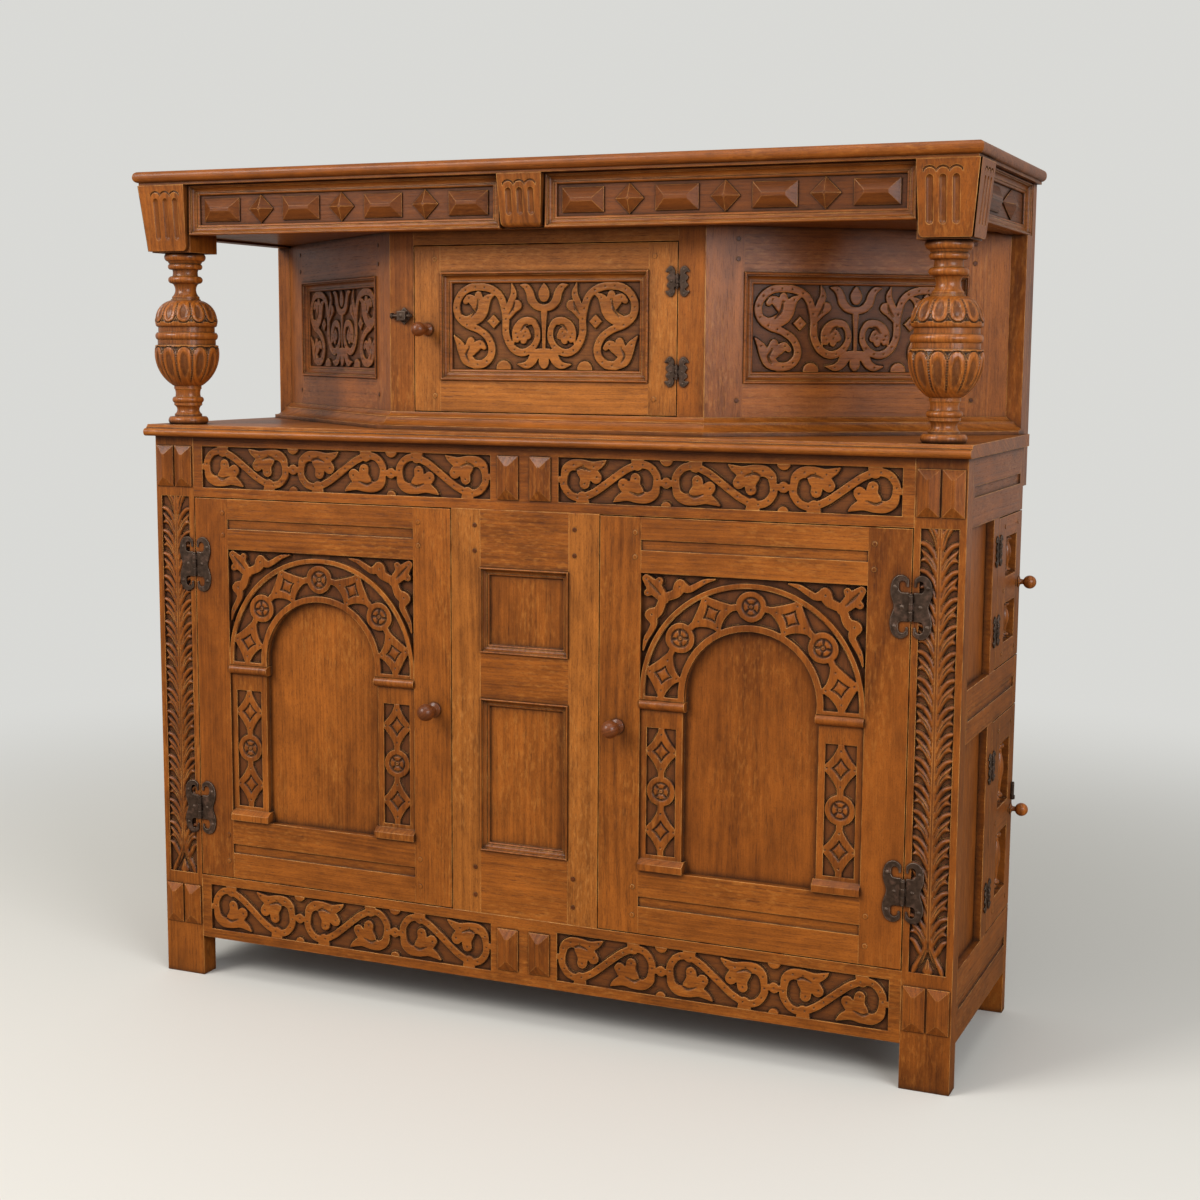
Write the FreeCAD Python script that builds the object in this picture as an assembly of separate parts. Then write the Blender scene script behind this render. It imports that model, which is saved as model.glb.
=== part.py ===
import FreeCAD, Part
import math
import os

os.makedirs("parts", exist_ok=True)
V = FreeCAD.Vector

# Lower case: whole sizes
caseWidth = 1300.0
caseDepth = 380.0
caseHeight = 878.0
railThick = 24.0

# Lower case: posts
frontPostWidth = 71.0
frontPostDepth = 32.0
backPostWidth = 50.0
backPostDepth = 20.0
stripMargin = 9.5
stripDepth = 4.0

# Lower case: heights from the floor
bottomRailLow = 65.0
bottomRailHeight = 104.0
topRailHeight = 95.0
sideRailHeight = 75.0
sideRailShare = 0.59

# Sunk friezes of the two front rails
friezeStart = 55.0
friezeEndMargin = 17.0
friezeMargin = 15.0
friezeDepth = 4.5

# Centre frame between the doors
centreHalf = 120.0
centreStile = 48.0
centreTopHeight = 86.0
centreMiddleHeight = 69.0
centreMiddleShare = 0.6454
lowerRailHeight = 98.0
centreMoulding = 12.0

# Front doors
doorGap = 1.5
doorThick = 22.0
hingeStile = 62.0
knobStile = 65.0
doorTopHeight = 81.0
bandHeight = 15.0
bandDepth = 2.5
panelThick = 6.0
panelFace = 13.0
tongue = 8.0

# Arcade on the front door panels
archHeadGap = 7.0
archFootDrop = 10.0
archOverhang = 3.0
archFilletWidth = 6.0
archRingFace = 4.5
spandrelFace = 7.0
pillarWidth = 65.0
pillarFace = 3.5
pillarFieldMargin = 10.0
pillarFieldHead = 26.0
pillarFieldFoot = 6.0
pillarFieldDepth = 3.0
capitalProud = 4.0
baseProud = 5.0
capitalHeight = 15.0
capitalReach = 4.0
baseHeight = 17.0
baseSlope = 7.0

# Side frames, side doors and their windows
sideStile = 35.0
sidePanelShare = 0.4684
sidePanelFace = 11.0
sideDoorThick = 20.0
sideHingeStileShare = 0.3202
sideKnobStileShare = 0.2175
upperWindowShares = (0.1493, 0.4118, 0.5882, 0.8552)
lowerWindowShares = (0.1289, 0.4277, 0.5535, 0.8585)
rebateGap = 1.0
spindleRadius = 7.5
spindlePinLength = 6.0

# Inside of the lower case
floorBoardThick = 14.0
shelfRise = 37.0
cleat = 18.0

# Back frames
backRailHeight = 70.0
backThick = 16.0
backMuntin = 60.0
backPanelThick = 7.0
backBoardCount = 3

# Shelf board on the lower case
shelfThick = 18.0
shelfOverhang = 7.0
shelfNose = 22.0

# Jewel bosses
bossRise = 8.0
bossRim = 2.0
postBossWidth = 31.0
postBossStep = 17.0
railBossWidth = 34.0
railBossMiddle = 26.0
bossHeight = 64.0
friezeBossRise = 10.0
friezeBossCount = 7
friezeBossShare = 0.9
friezeBossHeight = 35.0
diamondSize = 43.0
friezeBossMargin = 56.0
sideBossShares = (0.2565, 0.307)
sideDiamondShares = (0.6713, 0.3687)

# Upper stage: whole sizes
stageHeight = 369.0
topThick = 21.0
topOverhang = 12.0
topFront = 27.0
topCove = 4.0
topCoveSet = 7.0
topRound = 7.5

# Upper stage: corner blocks, brackets and frieze
blockSize = 71.0
blockInset = 42.0
blockFront = 4.5
blockHeight = 102.0
bracketHeight = 100.0
bracketTopReach = 15.5
bracketFootReach = 5.5
bracketFootWidth = 63.0
fluteRadius = 5.6
fluteDepth = 2.9
flutePitch = 17.6
fluteLow = 21.0
fluteHigh = 25.0
scallopRadius = 10.0
scallopCut = 1.4
scallopTop = 10.0
scallopHeight = 7.0
bracketRound = 7.0
bracketCornerGap = 2.0
friezeHeight = 76.5
friezeFace = 8.0
friezeRelief = 12.0
friezeThick = 16.0
friezeMoulding = 16.0
centreBracketHalf = 35.0
centreBracketFootHalf = 31.0
centreBracketReach = 24.0
centreBracketFootReach = 16.0
centreBracketHeight = 75.0
sideFriezeInset = 3.0

# Upper stage: baluster, soffit, posts and back
dowelRadius = 11.0
dowelLength = 12.0
soffitDrop = 73.0
soffitThick = 12.0
upperPostInset = 2.0
upperPostWidth = 23.0
upperPostAhead = 22.0
upperPostBehind = 12.0
upperPostHang = 61.0
upperBackThick = 24.0
hangGap = 0.6
upperBackStile = 48.0

# Upper cupboard
flatFace = 60.0
flatHalf = 255.0
flatStile = 41.0
footMouldingHeight = 26.0
flatHeadHeight = 21.0
boardThick = 20.0
upperDoorStile = 45.0
upperDoorHead = 40.0
upperDoorFoot = 48.0
upperPanelFace = 10.0
upperMoulding = 17.0
mouldingProud = 3.0
cantedStart = 58.0
cantedEnd = 67.0
cantedHead = 64.0
baseReach = 28.0

# Joints and fits
fitGap = 0.2
pinGap = 0.05
faceGap = 0.4
tenonCheekShare = 0.34
tenonShoulderShare = 0.14
longTenon = 36.0
shortTenon = 16.0
backTenon = 12.0
pegRadius = 3.2
pegProud = 0.8
pegInset = 9.0
pegSpreadShare = 0.22
pegEndGap = 1.0
overrun = 2.0

# Turned knobs
frontKnobReach = 40.0
frontKnobRadius = 13.0
frontKnobShare = 0.5
frontKnobInset = 30.0
sideKnobReach = 27.0
sideKnobRadius = 10.0
sideKnobInset = 9.5
upperSideKnobShare = 0.5068
lowerSideKnobShare = 0.4843
upperKnobReach = 41.0
upperKnobRadius = 11.0
upperKnobInset = 24.0
upperKnobShare = 0.498
knobDowelLength = 15.0

# Iron hinges
leafThick = 2.0
hingeWidth = 28.0
hingeHeight = 86.0
hingeBarrel = 3.2
smallHingeWidth = 18.0
smallHingeHeight = 43.0
sideHingeWidth = 22.0
sideHingeHeight = 45.0
smallHingeBarrel = 2.4
nailLength = 8.0
nailHeadHeight = 1.2
frontHingeShares = (0.8257, 0.1824)
upperDoorHingeShares = (0.771, 0.257)
upperSideHingeShares = (0.7828, 0.2579)
lowerSideHingeShares = (0.7862, 0.1824)

# Iron bolt of the upper door and turn catches of the lower side doors
boltShare = 0.5783
boltPlateInset = 16.0
boltPlateHalf = 13.0
boltGuideHalf = 7.0
boltGuideDepth = 10.0
boltRadius = 3.0
boltCollarRadius = 4.5
boltCollarLength = 3.0
boltTravel = 9.0
boltPointInset = 2.0
boltAxisOut = 7.0
catchShare = 0.5409
catchInset = 9.0
catchLength = 20.0
catchHalf = 4.0
catchThick = 3.0
catchPivot = 1.8
catchWasher = 3.4

# Outlines in shares of their own size
nosingShares = (
    (0.0, 0.0), (0.72, 0.0), (0.72, 0.66, 1.0, 0.33), (0.64, 0.66), (0.64, 0.76),
    (0.46, 1.0, 0.52, 0.88), (0.0, 1.0),
)
raisedShares = (
    (0.0, 1.0), (0.0, 0.12), (0.22, 0.12, 0.11, 0.0), (0.22, 0.22), (0.3, 0.22),
    (0.72, 0.62, 0.42, 0.52), (0.72, 0.7), (1.0, 0.86, 0.93, 0.7), (1.0, 1.0),
)
baseShares = (
    (0.0, 0.0), (1.0, 0.0), (1.0, 0.23), (0.86, 0.23), (0.3, 0.62, 0.5, 0.35), (0.3, 0.72),
    (0.02, 1.0, 0.13, 0.82), (0.0, 1.0),
)
knobNeckShare = 0.4
knobStemShares = ((0.0, 0.0), (0.78, 0.0), (0.78, 0.2, 0.86, 0.1), (0.48, 0.33), (0.4, 1.0, 0.38, 0.7))
spindleShares = (
    (0.0, 0.0), (0.6, 0.0), (0.6, 0.06), (0.6, 0.14, 0.95, 0.1), (0.5, 0.16), (0.5, 0.2),
    (0.95, 0.46, 0.62, 0.3), (0.45, 0.78, 0.85, 0.66), (0.45, 0.82), (0.6, 0.84), (0.6, 0.92, 0.95, 0.88),
    (0.6, 1.0), (0.0, 1.0),
)
balusterShares = (
    (0.0, 0.0), (0.105, 0.0), (0.105, 0.045, 0.117, 0.022), (0.080, 0.047), (0.080, 0.060),
    (0.082, 0.112, 0.065, 0.086), (0.082, 0.127), (0.082, 0.161, 0.092, 0.144), (0.074, 0.163),
    (0.076, 0.206, 0.072, 0.184), (0.080, 0.208), (0.080, 0.227), (0.085, 0.228),
    (0.183, 0.464, 0.173, 0.336), (0.169, 0.468), (0.169, 0.496), (0.172, 0.498),
    (0.172, 0.539, 0.182, 0.519), (0.164, 0.541), (0.164, 0.571), (0.179, 0.590, 0.175, 0.577),
    (0.178, 0.625, 0.182, 0.608), (0.087, 0.728, 0.156, 0.683), (0.087, 0.733), (0.080, 0.736),
    (0.080, 0.748), (0.072, 0.822, 0.061, 0.785), (0.080, 0.826), (0.080, 0.868, 0.100, 0.848),
    (0.075, 0.870), (0.075, 0.905, 0.072, 0.888), (0.090, 0.907), (0.090, 0.940, 0.100, 0.924),
    (0.094, 0.943), (0.100, 0.953), (0.108, 1.0, 0.120, 0.977), (0.0, 1.0),
)
scrollWingShares = (
    (0.0, 0.0), (0.0, 0.62), (0.16, 0.88), (0.45, 1.0), (0.8, 0.93), (1.0, 0.66), (0.98, 0.32), (0.84, 0.0),
    (0.98, -0.32), (1.0, -0.66), (0.8, -0.93), (0.45, -1.0), (0.16, -0.88), (0.0, -0.62),
)
scrollNailShares = ((0.81, 0.62), (0.81, -0.62), (0.45, 0.0))
scrollHoleShares = ((0.43, 0.64), (0.43, -0.64))
earedWingShares = (
    (0.0, 0.0), (0.0, 0.3), (0.24, 0.36), (0.25, 0.56), (0.32, 0.86), (0.55, 1.0), (0.84, 0.86), (1.0, 0.62),
    (0.78, 0.63), (0.62, 0.52), (0.84, 0.36), (0.88, 0.2), (0.7, 0.0), (0.88, -0.2), (0.84, -0.36),
    (0.62, -0.52), (0.78, -0.63), (1.0, -0.62), (0.84, -0.86), (0.55, -1.0), (0.32, -0.86), (0.25, -0.56),
    (0.24, -0.36), (0.0, -0.3),
)
earedNailShares = ((0.56, 0.78), (0.56, -0.78), (0.5, 0.0))
wingHoleRadiusShare = 0.2
wingHoleRiseShare = 0.06
barrelLengthShare = 0.38
pinRadiusShare = 0.46
pinHeadShare = 0.8
nailHeadShare = 0.03
nailShankShare = 0.42
jewelInsetShare = 0.43

# Sizes that follow from the ones above
caseHalf = caseWidth / 2
postInner = caseHalf - frontPostWidth
backInner = caseHalf - backPostWidth
friezeEnd = postInner - friezeEndMargin
bottomRailHigh = bottomRailLow + bottomRailHeight
topRailLow = caseHeight - topRailHeight
lowerRailTop = bottomRailHigh + lowerRailHeight
doorTopLow = topRailLow - doorTopHeight
centreTopLow = topRailLow - centreTopHeight
centreMiddleLow = lowerRailTop + (centreTopLow - lowerRailTop - centreMiddleHeight) * centreMiddleShare
centreMiddleHigh = centreMiddleLow + centreMiddleHeight
sideRailLow = bottomRailHigh + (topRailLow - bottomRailHigh - sideRailHeight) * sideRailShare
sideRailHigh = sideRailLow + sideRailHeight
sidePanelEnd = caseDepth * sidePanelShare
sideDoorStart = sidePanelEnd + sideStile
sideLength = caseDepth - backPostDepth
sideHingeStile = (caseDepth - sideDoorStart) * sideHingeStileShare
sideKnobStile = (caseDepth - sideDoorStart) * sideKnobStileShare
shelfLow = sideRailLow + shelfRise
frontKnobMiddle = centreHalf + frontKnobInset
upperLow = caseHeight + shelfThick
stageTop = upperLow + stageHeight
topHalfWidth = caseHalf + topOverhang
blockMiddle = caseHalf - blockInset
blockInner = blockMiddle - blockSize / 2
blockBack = blockSize - blockFront
blockLow = stageTop - blockHeight
balusterHeight = blockLow - upperLow
friezeLow = stageTop - friezeHeight
soffitLow = stageTop - soffitDrop
upperPostHalf = caseHalf - upperPostInset
upperPostFront = caseDepth - upperPostAhead
upperPostBack = caseDepth + upperPostBehind
upperPostFoot = caseHeight - upperPostHang
upperBack = upperPostBack + upperBackThick
upperDoorHalf = flatHalf - flatStile
upperDoorLow = upperLow + footMouldingHeight
upperDoorHigh = soffitLow - flatHeadHeight
upperDoorTop = upperDoorHigh - upperDoorHead
upperPanelLow = upperDoorLow + upperDoorFoot
cantedPanelTop = soffitLow - cantedHead
depthShift = (upperBack - frontKnobReach) / 2


def between(low, high, shares):
    return [low + (high - low) * share for share in shares]


def block(x0, x1, y0, y1, z0, z1):
    return Part.makeBox(x1 - x0, y1 - y0, z1 - z0, V(x0, y0, z0))


def grown(ends, gap=fitGap):
    return [end + (gap if place % 2 else -gap) for place, end in enumerate(ends)]


def rod(radius, start, end):
    return Part.makeCylinder(radius, (end - start).Length, start, end - start)


def ball(radius, middle):
    return Part.makeSphere(radius, middle)


def fused(first, *others):
    shape = first
    for other in others:
        shape = shape.fuse(other)
    return shape.removeSplitter().Solids[0]


def cutAll(solids, cutters):
    left = []
    for solid in solids:
        near = [cutter for cutter in cutters if cutter.BoundBox.intersect(solid.BoundBox)]
        left += solid.cut(near).Solids if near else [solid]
    return left


def moved(solids, x, y, z):
    copies = [solid.copy() for solid in solids]
    for copy in copies:
        copy.translate(V(x, y, z))
    return copies


def swung(solids, degrees):
    copies = [solid.copy() for solid in solids]
    for copy in copies:
        copy.rotate(V(0, 0, 0), V(0, 0, 1), degrees)
    return copies


def mirrored(solids):
    return [solid.mirror(V(0, 0, 0), V(1, 0, 0)) for solid in solids]


def both(solids):
    return solids + mirrored(solids)


def wire(steps, spot):
    # each step is a point, or a point and the middle of the arc that leads to it
    edges = []
    here = spot(steps[0][0], steps[0][1])
    for step in steps[1:] + steps[:1]:
        there = spot(step[0], step[1])
        if len(step) > 2 and step is not steps[0]:
            edges.append(Part.Arc(here, spot(step[2], step[3]), there).toShape())
        else:
            edges.append(Part.LineSegment(here, there).toShape())
        here = there
    return Part.Wire(edges)


def plate(points, push):
    outline = Part.makePolygon(points + points[:1])
    return Part.Face(outline).extrude(push)


def turnedPiece(steps, radius, height):
    outline = wire(steps, lambda r, h: V(r * radius, 0, h * height))
    return Part.Face(outline).revolve(V(0, 0, 0), V(0, 0, 1), 360).Solids[0]


def rail(left, right, low, high, thick, tenons):
    # a rail with a tenon at either end, and the mortises these need
    cheek = thick * tenonCheekShare
    step = (high - low) * tenonShoulderShare
    boxes = []
    if tenons[0]:
        boxes.append((left - tenons[0], left, cheek, thick - cheek, low + step, high - step))
    if tenons[1]:
        boxes.append((right, right + tenons[1], cheek, thick - cheek, low + step, high - step))
    bar = fused(block(left, right, 0, thick, low, high), *[block(*box) for box in boxes])
    return bar, [block(*grown(box)) for box in boxes]


def upright(left, right, low, high, thick, tenon):
    cheek = thick * tenonCheekShare
    step = (right - left) * tenonShoulderShare
    boxes = [
        (left + step, right - step, cheek, thick - cheek, low - tenon, low),
        (left + step, right - step, cheek, thick - cheek, high, high + tenon),
    ]
    bar = fused(block(left, right, 0, thick, low, high), *[block(*box) for box in boxes])
    return bar, [block(*grown(box)) for box in boxes]


def pegsFor(edges, rails, thick):
    # pegs through the tenons, one or two to a joint, and their bores
    pegs = []
    bores = []
    for edge in edges:
        for low, high in rails:
            spread = (high - low) * pegSpreadShare
            middle = (low + high) / 2
            heights = (middle - spread, middle + spread) if high - low > hingeStile else (middle,)
            for height in heights:
                tip = thick * (1 - tenonCheekShare / 2)
                pegs.append(rod(pegRadius, V(edge, -pegProud, height), V(edge, tip, height)))
                far = V(edge, tip + pegEndGap, height)
                bores.append(rod(pegRadius + pinGap, V(edge, -overrun, height), far))
    return pegs, bores


def framed(left, right, low, high, thick, stiles, rails, tenons, pegRails=None):
    # two stiles, the rails between them and the pegs of their joints
    inner = left + stiles[0]
    outer = right - stiles[1]
    posts = [block(left, inner, 0, thick, low, high), block(outer, right, 0, thick, low, high)]
    bars = []
    mortises = []
    for railLow, railHigh in rails:
        bar, holes = rail(inner, outer, railLow, railHigh, thick, tenons)
        bars.append(bar)
        mortises += holes
    pegs, bores = pegsFor((inner - pegInset, outer + pegInset), pegRails or rails, thick)
    return cutAll(cutAll(posts, mortises) + bars, bores), pegs


def panel(frame, x0, x1, z0, z1, face, thick):
    # a panel with its edges in grooves of the frame around it
    ends = (x0 - tongue, x1 + tongue, face, face + thick, z0 - tongue, z1 + tongue)
    return cutAll(frame, [block(*grown(ends))]), block(*ends)


def mouldingRing(x0, x1, z0, z1, front, width, depth):
    # a moulding round a rectangle, its back on the panel, in four mitred lengths
    middle = (x0 + x1) / 2
    corners = [V(x1, 0, z0), V(x1, 0, z1), V(x0, 0, z1), V(x0, 0, z0)]
    path = Part.makePolygon([V(middle, 0, z0)] + corners + [V(middle, 0, z0)])
    outline = wire(raisedShares, lambda u, v: V(middle, front + v * depth, z0 + u * width))
    ring = path.makePipeShell([outline], True, False, 1).Solids[0]
    back = front + depth
    outer = [V(x0, back, z0), V(x1, back, z0), V(x1, back, z1), V(x0, back, z1)]
    reach = width + overrun
    inner = [
        V(x0 + reach, back, z0 + reach), V(x1 - reach, back, z0 + reach),
        V(x1 - reach, back, z1 - reach), V(x0 + reach, back, z1 - reach),
    ]
    lengths = []
    for number in range(len(outer)):
        after = (number + 1) % len(outer)
        corners = [outer[number], outer[after], inner[after], inner[number]]
        lengths += ring.common(plate(corners, V(0, -depth, 0))).Solids
    return lengths


def stacked(x, z, face, rims):
    # a block built up from rims, each a height and its corners
    solids = []
    for pair in zip(rims, rims[1:]):
        wires = []
        for rise, corners in pair:
            points = [V(x + u, face - rise, z + v) for u, v in corners]
            wires.append(Part.makePolygon(points + points[:1]))
        solids.append(Part.makeLoft(wires, True, True))
    return fused(*solids)


def jewel(x, z, width, height, face, rise):
    # a hipped block with a small flat on top
    inset = min(width, height) * jewelInsetShare
    rims = []
    for level, edge in ((0, 0), (bossRim, 0), (rise, inset)):
        u = width / 2 - edge
        v = height / 2 - edge
        rims.append((level, ((-u, -v), (u, -v), (u, v), (-u, v))))
    return stacked(x, z, face, rims)


def diamond(x, z, width, height, face, rise):
    # a lozenge block rising to a small flat
    rims = []
    for level, edge in ((0, 0), (bossRim, 0), (rise, jewelInsetShare * 2)):
        u = width / 2 * (1 - edge)
        v = height / 2 * (1 - edge)
        rims.append((level, ((-u, 0), (0, -v), (u, 0), (0, v))))
    return stacked(x, z, face, rims)


def knob(reach, radius):
    # a turned knob that stands on the face y = 0, and the bore for its dowel
    shank = radius * knobNeckShare
    middle = reach - radius
    start = middle - math.sqrt(radius ** 2 - shank ** 2)
    steps = [(step[0] * radius, step[1] * start) + tuple(step[2:]) for step in knobStemShares]
    steps = [step[:2] + (step[2] * radius, step[3] * start) if len(step) > 2 else step for step in steps]
    turned = turnedPiece(steps + [(0, reach, radius, middle)], 1, 1)
    dowel = rod(shank, V(0, 0, -knobDowelLength), V(0, 0, 0))
    bore = rod(shank + fitGap / 2, V(0, 0, -knobDowelLength - pegEndGap), V(0, 0, 0))
    shapes = [fused(turned, dowel), bore]
    for shape in shapes:
        shape.rotate(V(0, 0, 0), V(1, 0, 0), 90)
    return shapes


def nail(x, z, head, front):
    # a rose-headed nail through an iron plate, its hole and the bore in the wood
    shank = head * nailShankShare
    dome = Part.makeCone(head, head / 2, nailHeadHeight, V(x, front, z), V(0, -1, 0))
    body = fused(dome, rod(shank, V(x, front, z), V(x, nailLength, z)))
    hole = rod(shank + pinGap, V(x, front - overrun, z), V(x, nailLength + pegEndGap, z))
    return body, hole


def wing(width, height, inner, outline, holeSpots):
    # one iron leaf on the side of +x, with scrolls that open towards the seam where it has holes
    spots = [V(u * width, 0, v * height / 2) for u, v in outline]
    curve = Part.BSplineCurve()
    curve.interpolate(Points=spots, PeriodicFlag=True)
    leaf = Part.Face(Part.Wire([curve.toShape()])).extrude(V(0, -leafThick, 0))
    holes = [block(-width, inner, -leafThick - overrun, overrun, -height, height)]
    for u, v in holeSpots:
        radius = wingHoleRadiusShare * width
        rise = wingHoleRiseShare * height / 2
        x = u * width
        z = v * height / 2
        for level in (z - rise, z + rise):
            holes.append(rod(radius, V(x, -leafThick - overrun, level), V(x, overrun, level)))
        holes.append(block(x - radius, x + radius, -leafThick - overrun, overrun, z - rise, z + rise))
        foot = z - (rise + radius) * (1 if v > 0 else -1)
        low, high = sorted((foot, z))
        holes.append(block(0, x, -leafThick - overrun, overrun, low, high))
    return leaf.cut(holes).Solids[0]


def hinge(width, height, barrel, outline, nailSpots, holeSpots):
    # seam at x = 0, faces at y = 0, the door towards -x
    out = barrel + faceGap
    inner = out + faceGap
    third = height * barrelLengthShare / 3
    pinRadius = barrel * pinRadiusShare
    pinEnd = third * 3 / 2 + faceGap
    bore = rod(pinRadius + pinGap, V(0, -out, -height), V(0, -out, height))
    zones = ((-third * 3 / 2, -third / 2 - faceGap), (third / 2 + faceGap, third * 3 / 2))
    right = wing(width, height, inner, outline, holeSpots)
    left = right.mirror(V(0, 0, 0), V(1, 0, 0))
    doorLeaf = [left]
    for low, high in zones:
        doorLeaf.append(rod(barrel, V(0, -out, low), V(0, -out, high)))
        doorLeaf.append(block(-inner - leafThick, 0, -leafThick, -faceGap, low, high))
    caseLeaf = [right, rod(barrel, V(0, -out, -third / 2), V(0, -out, third / 2))]
    caseLeaf.append(block(0, inner + leafThick, -leafThick, -faceGap, -third / 2, third / 2))
    pin = [rod(pinRadius, V(0, -out, -pinEnd), V(0, -out, pinEnd))]
    pin.append(rod(barrel * pinHeadShare, V(0, -out, pinEnd), V(0, -out, pinEnd + leafThick)))
    pin.append(rod(barrel * pinHeadShare, V(0, -out, -pinEnd - leafThick), V(0, -out, -pinEnd)))
    nails = []
    holes = []
    for u, v in nailSpots:
        body, hole = nail(u * width, v * height / 2, nailHeadShare * height, -leafThick)
        nails.append(body)
        holes.append(hole)
    caseSide = cutAll([fused(*caseLeaf)], [bore] + holes) + [fused(*pin)] + nails
    doorSide = cutAll([fused(*doorLeaf)], [bore] + mirrored(holes)) + mirrored(nails)
    return doorSide, caseSide, mirrored(holes), holes


def hingesAt(size, heights, x, face, turn=None):
    # hinges at several heights, set over a seam, and the bores of their nails
    groups = [[], [], [], []]
    for height in heights:
        for number, shapes in enumerate(hinge(*size)):
            if turn:
                shapes = swung(mirrored(shapes), turn)
                groups[number] += moved(shapes, face, x, height)
            else:
                groups[number] += moved(shapes, x, face, height)
    return groups


def toRightSide(solids):
    return moved(swung(solids, 90), caseHalf, 0, 0)


def carvedRail(low, high):
    # a front rail with two sunk friezes and mortises for the centre stiles
    bar, holes = rail(-postInner, postInner, low, high, railThick, (longTenon, longTenon))
    field = block(friezeStart, friezeEnd, -overrun, friezeDepth, low + friezeMargin, high - friezeMargin)
    return cutAll([bar], both([field])), holes


def frontPost():
    # the right front post, from the floor to the shelf board
    post = block(postInner, caseHalf, 0, frontPostDepth, 0, caseHeight)
    left = postInner + stripMargin
    right = caseHalf - stripMargin
    strip = block(left, right, -overrun, stripDepth, bottomRailHigh, topRailLow)
    return post.cut(strip).Solids[0]


def backPost():
    # the right back post, rebated where the side doors lie over it
    post = block(backInner, caseHalf, sideLength, caseDepth, 0, caseHeight)
    rebates = []
    for low, high in ((bottomRailHigh, sideRailLow), (sideRailHigh, topRailLow)):
        face = caseHalf - sideDoorThick - rebateGap
        rebates.append(block(face, caseHalf + overrun, sideLength - overrun, caseDepth + overrun, low, high))
    return cutAll([post], rebates)[0]


def centreFrame():
    # two stiles and three rails between the doors, with two panels
    inner = centreHalf - centreStile
    rails = (
        (bottomRailHigh, lowerRailTop), (centreMiddleLow, centreMiddleHigh), (centreTopLow, topRailLow),
    )
    stile, feet = upright(inner, centreHalf, bottomRailHigh, topRailLow, railThick, shortTenon)
    bars = []
    mortises = []
    for low, high in rails:
        bar, holes = rail(-inner, inner, low, high, railThick, (shortTenon, shortTenon))
        bars.append(bar)
        mortises += holes
    pegs, bores = pegsFor((-inner - pegInset, inner + pegInset), (rails[0], rails[2]), railThick)
    frame = cutAll(cutAll(both([stile]), mortises) + bars, bores)
    panels = []
    for low, high in ((lowerRailTop, centreMiddleLow), (centreMiddleHigh, centreTopLow)):
        frame, board = panel(frame, -inner, inner, low, high, upperPanelFace, backPanelThick)
        depth = upperPanelFace + mouldingProud
        panels += [board] + mouldingRing(-inner, inner, low, high, -mouldingProud, centreMoulding, depth)
    return frame, panels, pegs, both(feet)


def frontDoor():
    # the right front door: frame, pegs, panel with its arcade, knob
    left = centreHalf + doorGap
    right = postInner - doorGap
    low = bottomRailHigh + doorGap
    high = topRailLow - doorGap
    inner = centreHalf + knobStile
    outer = postInner - hingeStile
    stiles = (inner - left, right - outer)
    rails = ((low, lowerRailTop), (doorTopLow, high))
    frame, pegs = framed(left, right, low, high, doorThick, stiles, rails, (longTenon, longTenon))
    bands = []
    for railLow, railHigh in rails:
        middle = (railLow + railHigh) / 2
        ends = (middle - bandHeight / 2, middle + bandHeight / 2)
        bands.append(block(inner, outer, -overrun, bandDepth, *ends))
    frame = cutAll(frame, bands)
    frame, board = panel(frame, inner, outer, lowerRailTop, doorTopLow, panelFace, panelThick)
    arcade = arcadeIn(inner, outer)
    turned, bore = knob(frontKnobReach, frontKnobRadius)
    knobPlace = (frontKnobMiddle, 0, low + (high - low) * frontKnobShare)
    frame = cutAll(frame, moved([bore], *knobPlace))
    turned = moved([turned], *knobPlace)
    return frame + pegs, [board] + arcade, turned


def arcadeIn(left, right):
    # round arch on two pillars in front of the panel
    middle = (left + right) / 2
    half = (right - left) / 2
    centreHeight = doorTopLow - archHeadGap - half
    capitalHigh = centreHeight - archFootDrop
    capitalLow = capitalHigh - capitalHeight
    archRadius = half - pillarWidth - archOverhang
    centre = V(middle, -overrun, centreHeight)
    through = V(middle, doorThick, centreHeight)
    below = block(left - half, right + half, -overrun, doorThick, 0, capitalHigh)
    passage = block(middle - archRadius, middle + archRadius, -overrun, doorThick, 0, centreHeight)
    opening = fused(rod(archRadius, centre, through), passage)
    spandrel = block(left, right, spandrelFace, panelFace, capitalHigh, doorTopLow).cut(opening)
    ring = rod(half, V(middle, archRingFace, centreHeight), V(middle, spandrelFace, centreHeight))
    fillet = rod(half, V(middle, 0, centreHeight), V(middle, archRingFace, centreHeight))
    fillet = fillet.cut(rod(half - archFilletWidth, centre, through))
    ring = fused(ring, fillet).cut([opening, below])
    solids = spandrel.Solids + ring.Solids
    for side in (-1, 1):
        outerEdge = middle + side * half
        innerEdge = outerEdge - side * pillarWidth
        x0, x1 = sorted((outerEdge, innerEdge))
        bodyLow = lowerRailTop + baseHeight
        body = block(x0, x1, pillarFace, panelFace, bodyLow, capitalLow)
        field = block(
            x0 + pillarFieldMargin, x1 - pillarFieldMargin, -overrun, pillarFace + pillarFieldDepth,
            bodyLow + pillarFieldFoot, capitalLow - pillarFieldHead,
        )
        solids += body.cut(field).Solids
        reach = innerEdge - side * capitalReach
        x0, x1 = sorted((outerEdge, reach))
        nose = (capitalHigh - capitalLow) / 2
        level = (capitalHigh + capitalLow) / 2
        roll = rod(nose, V(x0, nose - capitalProud, level), V(x1, nose - capitalProud, level))
        square = block(x0, x1, nose - capitalProud, panelFace, capitalLow, capitalHigh)
        solids += fused(square, roll).Solids
        slope = [V(x0, -baseProud, lowerRailTop), V(x0, panelFace, lowerRailTop), V(x0, panelFace, bodyLow)]
        slope += [V(x0, pillarFace, bodyLow), V(x0, -baseProud, bodyLow - baseSlope)]
        solids.append(plate(slope, V(x1 - x0, 0, 0)))
    return solids


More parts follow.
